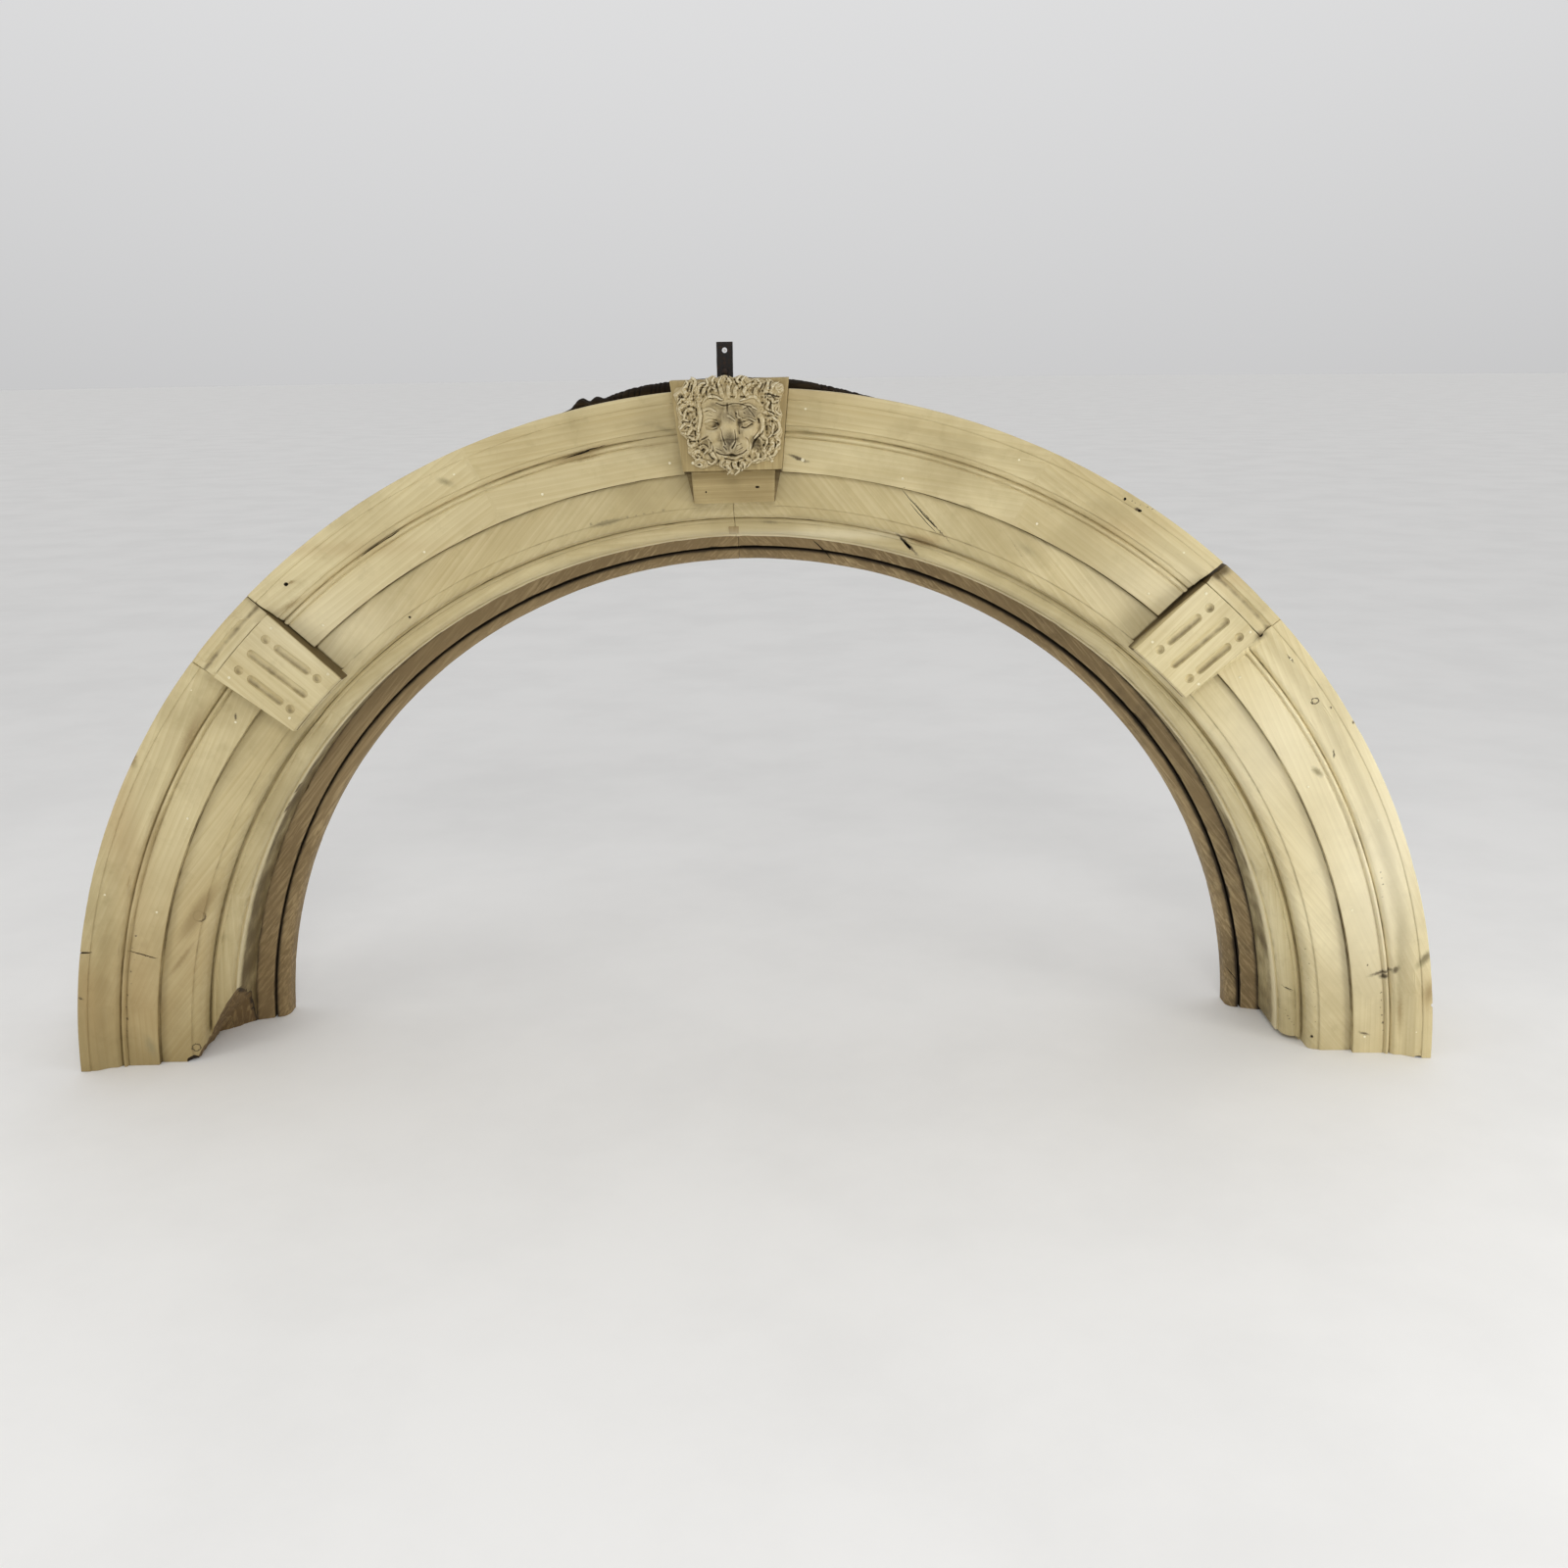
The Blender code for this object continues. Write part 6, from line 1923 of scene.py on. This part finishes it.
def build_strap(finish):
    """A hand-cut iron bar, a little bent, with its holes, a bright screw and an iron bolt."""
    front = FACE_Y + ARCH_DEPTH + JOINT_GAP
    shape = bmesh.new()
    bmesh.ops.create_cube(shape, size=1.0)
    for vert in shape.verts:
        vert.co = Vector((
            STRAP_X + vert.co.x * STRAP_WIDTH,
            front + STRAP_THICKNESS * (vert.co.y + 0.5),
            STRAP_TOP + STRAP_LENGTH * (vert.co.z - 0.5),
        ))
    bmesh.ops.bevel(shape, geom=list(shape.edges), offset=0.0009, segments=2, profile=0.6, affect="EDGES")
    for _ in range(6):
        long_edges = [edge for edge in shape.edges if edge.calc_length() > 0.005]
        bmesh.ops.subdivide_edges(shape, edges=long_edges, cuts=1, use_grid_fill=True)
    bmesh.ops.triangulate(shape, faces=[face for face in shape.faces if len(face.verts) > 4])
    points, faces = taken_apart(shape)
    wave = 0.00030 * rough(points, 0.014, 411) + 0.00012 * noise(points, 0.004, 412)
    points += wave[:, None] * (0.7, 0.3, 0.6)
    points[:, 1] = np.maximum(points[:, 1], front)
    strap = make_mesh("hanging_strap_iron", points, faces, finish["iron"])
    for below in STRAP_HOLES:
        hole = cylinder((STRAP_X, STRAP_TOP - below), STRAP_HOLE_RADIUS, front - 0.01, front + 0.02)
        carve_all(strap, [hole], finish["iron"])
    settle(strap, "iron", "hanging_strap")
    top_hole, next_hole = (Vector((STRAP_X, front, STRAP_TOP - below)) for below in STRAP_HOLES[:2])
    screw = screw_head("strap_screw", top_hole - TOWARDS_VIEWER * 0.0016, 0.0019, finish["bright"])
    settle(screw, "iron")
    bolt = screw_head("strap_bolt", next_hole + TOWARDS_VIEWER * 0.0004, 0.0058, finish["iron"], slot=0,
                      dome_height=0.45)
    settle(bolt, "iron")


# Side view of a screw's head and shank: reach from its axis in radii, height in dome heights
HEAD_PROFILE = (
    (0.0, -1.6), (0.62, -1.6), (0.66, -0.35), (0.96, -0.12), (1.0, 0.0), (0.93, 0.5), (0.72, 0.85),
    (0.4, 0.97), (0.0, 1.0),
)
BOX_FACES = [[0, 1, 2, 3], [7, 6, 5, 4], [0, 4, 5, 1], [1, 5, 6, 2], [2, 6, 7, 3], [3, 7, 4, 0]]


def screw_head(name, place, radius, finish, facing=TOWARDS_VIEWER, slot=0.0009, turn=0.6, dome_height=0.35):
    """A slotted head facing a direction, with a short shank behind it."""
    side = facing.orthogonal().normalized()
    other = facing.cross(side)
    dome_top = facing * (radius * dome_height)
    rings = [(place + dome_top * height, radius * reach) for reach, height in HEAD_PROFILE]
    head = make_mesh(name, *turned_shape(rings, side, other), finish, 40.0)
    if slot:
        along = side * math.cos(turn) + other * math.sin(turn)
        wide = facing.cross(along)
        corners = [
            place + along * (radius * a) + wide * (slot * b) + dome_top * up
            for up in (0.15, 3.0) for a, b in ((-1.3, -0.5), (1.3, -0.5), (1.3, 0.5), (-1.3, 0.5))
        ]
        carve_all(head, [(corners, BOX_FACES)], finish)
    return head


# Nails and screws: depth of their ground, radius, lift, width of the slot, dome height in radii, pixels
NAILS = {
    "right_nails": (None, 0.0019, 0.0004, 0, 0.30, (
        (921, 488.4), (1040, 469), (1058, 534.4), (1172, 605.7), (1208, 563.7), (1317, 672.4), (1265.2, 691),
        (1406.3, 837), (1334.8, 802.9), (822, 417), (1444.9, 1053), (1392.3, 1057.8), (1379.4, 928.6),
    )),
    "left_nails": (None, 0.0019, 0.0004, 0, 0.30, (
        (463.3, 483.8), (553.4, 504.3), (433, 563.2), (329.7, 637.8), (195.8, 704.4), (240.5, 736.8),
        (668, 422), (683.4, 472.5), (107, 913), (160, 930.9), (191.4, 835.1),
    )),
    "right_plate_screws": (PLATE_FRONT_DEPTH, 0.0021, 0.0003, 0.0006, 0.2, (
        (1230.8, 605.7), (1176, 655), (1275.7, 645), (1223, 698),
    )),
    "left_plate_screws": (PLATE_FRONT_DEPTH, 0.0021, 0.0003, 0.0006, 0.2, (
        (276.8, 641.1), (233.8, 691.4), (334.7, 688), (295.5, 732.8),
    )),
    "keystone_screws": (KEY_FRONT_DEPTH, 0.0022, 0.0003, 0.0006, 0.2, ((707.1, 472.5), (787.7, 469.9))),
    "crown_screw": (None, 0.0026, 0.0003, 0.0006, 0.2, ((819, 469.3),)),
}


def facing_at(place):
    """The way a moulding faces at a place on it."""
    radius = math.hypot(place.x, place.z + CENTRE_BELOW_FEET)
    slope = (front_depth(radius + 0.002) - front_depth(radius - 0.002)) / 0.004
    outward = Vector((place.x, 0.0, place.z + CENTRE_BELOW_FEET)).normalized()
    return (TOWARDS_VIEWER + outward * max(-0.6, min(0.6, slope))).normalized()


def build_nails(finish):
    for name, (depth, radius, lift, slot, dome_height, pixels) in NAILS.items():
        heads = []
        for number, pixel in enumerate(pixels):
            place = seen(pixel, depth)
            facing = facing_at(place) if depth is None else TOWARDS_VIEWER
            heads.append(screw_head(f"{name}_{number}", place + facing * lift, radius, finish["nail"], facing,
                                    slot, 0.4 + number * 1.1, dome_height))
        group = heads[0]
        group.name = name
        if heads[1:]:
            join(group, *heads[1:])
        group.data.name = name
        settle(group, "iron")


PATCH_FROM = 112
PATCH_TO = 164
PATCH_ASIDE = 0.15
PATCH_HALF = 0.50


def build_patch(finish):
    """The small piece let into the torus over its open joint."""
    size = TORUS_SIZE + 0.0006
    outline = arc((TORUS_RADIUS, TORUS_DEPTH), (size, size), PATCH_FROM, PATCH_TO, 10)
    size = TORUS_SIZE - 0.0040
    outline += arc((TORUS_RADIUS, TORUS_DEPTH), (size, size), PATCH_TO, PATCH_FROM, 6)
    middle = AXIS + PATCH_ASIDE
    rounded = softened(outline, lambda radius, depth: False, 0.0005, 0.0015)
    patch = sweep("joint_patch_worn", rounded, radial_end(middle - PATCH_HALF),
                  radial_end(middle + PATCH_HALF), finish["patch"], 0.5, 98, step=0.1)
    paint(patch, straight_grain(AXIS + 90.0, 7), ring_grime_and_shade)
    settle(patch, "pine", "joint_patch")


# Floor and light

def add_floor():
    bpy.ops.mesh.primitive_circle_add(vertices=96, radius=60.0, fill_type="NGON")
    floor = bpy.context.object
    floor.name = "studio_floor"
    pale, tree, shader, place = new_material("pale_floor")
    colour = (0.86, 0.855, 0.84)
    darker = tuple(value * 0.95 for value in colour)
    cloud = stretched_noise(tree, place, (1.0, 1.0, 1.0), 2.2, 6.0, 0.6)
    colour = mix_colour(tree, ramp(tree, cloud, 0.35, 0.7), colour, darker)
    feed(shader, {"Base Color": colour, "Roughness": 0.8})
    floor.data.materials.append(pale)


def area_light(name, place, target, size, power, colour):
    data = bpy.data.lights.new(name, "AREA")
    data.shape = "RECTANGLE"
    data.size = size[0]
    data.size_y = size[1]
    data.energy = power
    data.color = colour
    lamp = bpy.data.objects.new(name, data)
    bpy.context.scene.collection.objects.link(lamp)
    lamp.location = place
    aim = Vector(target) - Vector(place)
    lamp.rotation_euler = aim.to_track_quat("-Z", "Y").to_euler()


def add_light():
    """A room that is paler behind the arch, and a low soft lamp on either side in front."""
    world = bpy.data.worlds.new("studio")
    world.use_nodes = True
    bpy.context.scene.world = world
    tree = world.node_tree
    way = node(tree, "ShaderNodeTexCoord").outputs["Generated"]
    parts = node(tree, "ShaderNodeSeparateXYZ", {0: way}).outputs
    behind = ramp(tree, weighted(tree, (parts[1], 0.37), (parts[2], 0.93)), -0.37, 0.80)
    room = mix_colour(tree, behind, (0.21, 0.21, 0.215), (0.80, 0.80, 0.805))
    feed(tree.nodes["Background"], {"Color": room, "Strength": 1.0})
    area_light("lamp_right", (2.50, -1.45, 0.45), (0.55, 0.0, 0.45), (0.7, 0.7), 21.0, (1.0, 0.99, 0.96))
    area_light("lamp_left", (-2.70, -1.60, 0.60), (-0.5, 0.0, 0.5), (0.8, 0.8), 15.0, (1.0, 0.99, 0.965))
    area_light("lamp_top", (0.3, -2.9, 2.5), (0.0, 0.0, 0.7), (1.2, 0.9), 27.0, (0.99, 0.99, 1.0))


def main():
    add_camera()
    bpy.context.scene.view_settings.view_transform = "Standard"
    finish = make_materials()
    build_crown(finish)
    build_rings(finish)
    build_blocks(finish)
    build_keystone(finish)
    build_mask(finish)
    build_crest(finish)
    build_strap(finish)
    build_patch(finish)
    build_nails(finish)
    add_floor()
    add_light()


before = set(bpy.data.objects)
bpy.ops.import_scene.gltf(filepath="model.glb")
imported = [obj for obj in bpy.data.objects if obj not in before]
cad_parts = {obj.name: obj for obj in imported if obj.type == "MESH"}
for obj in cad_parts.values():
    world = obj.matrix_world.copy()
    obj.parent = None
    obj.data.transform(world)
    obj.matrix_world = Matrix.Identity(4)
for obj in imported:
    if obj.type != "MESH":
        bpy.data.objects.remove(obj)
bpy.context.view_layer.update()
main()
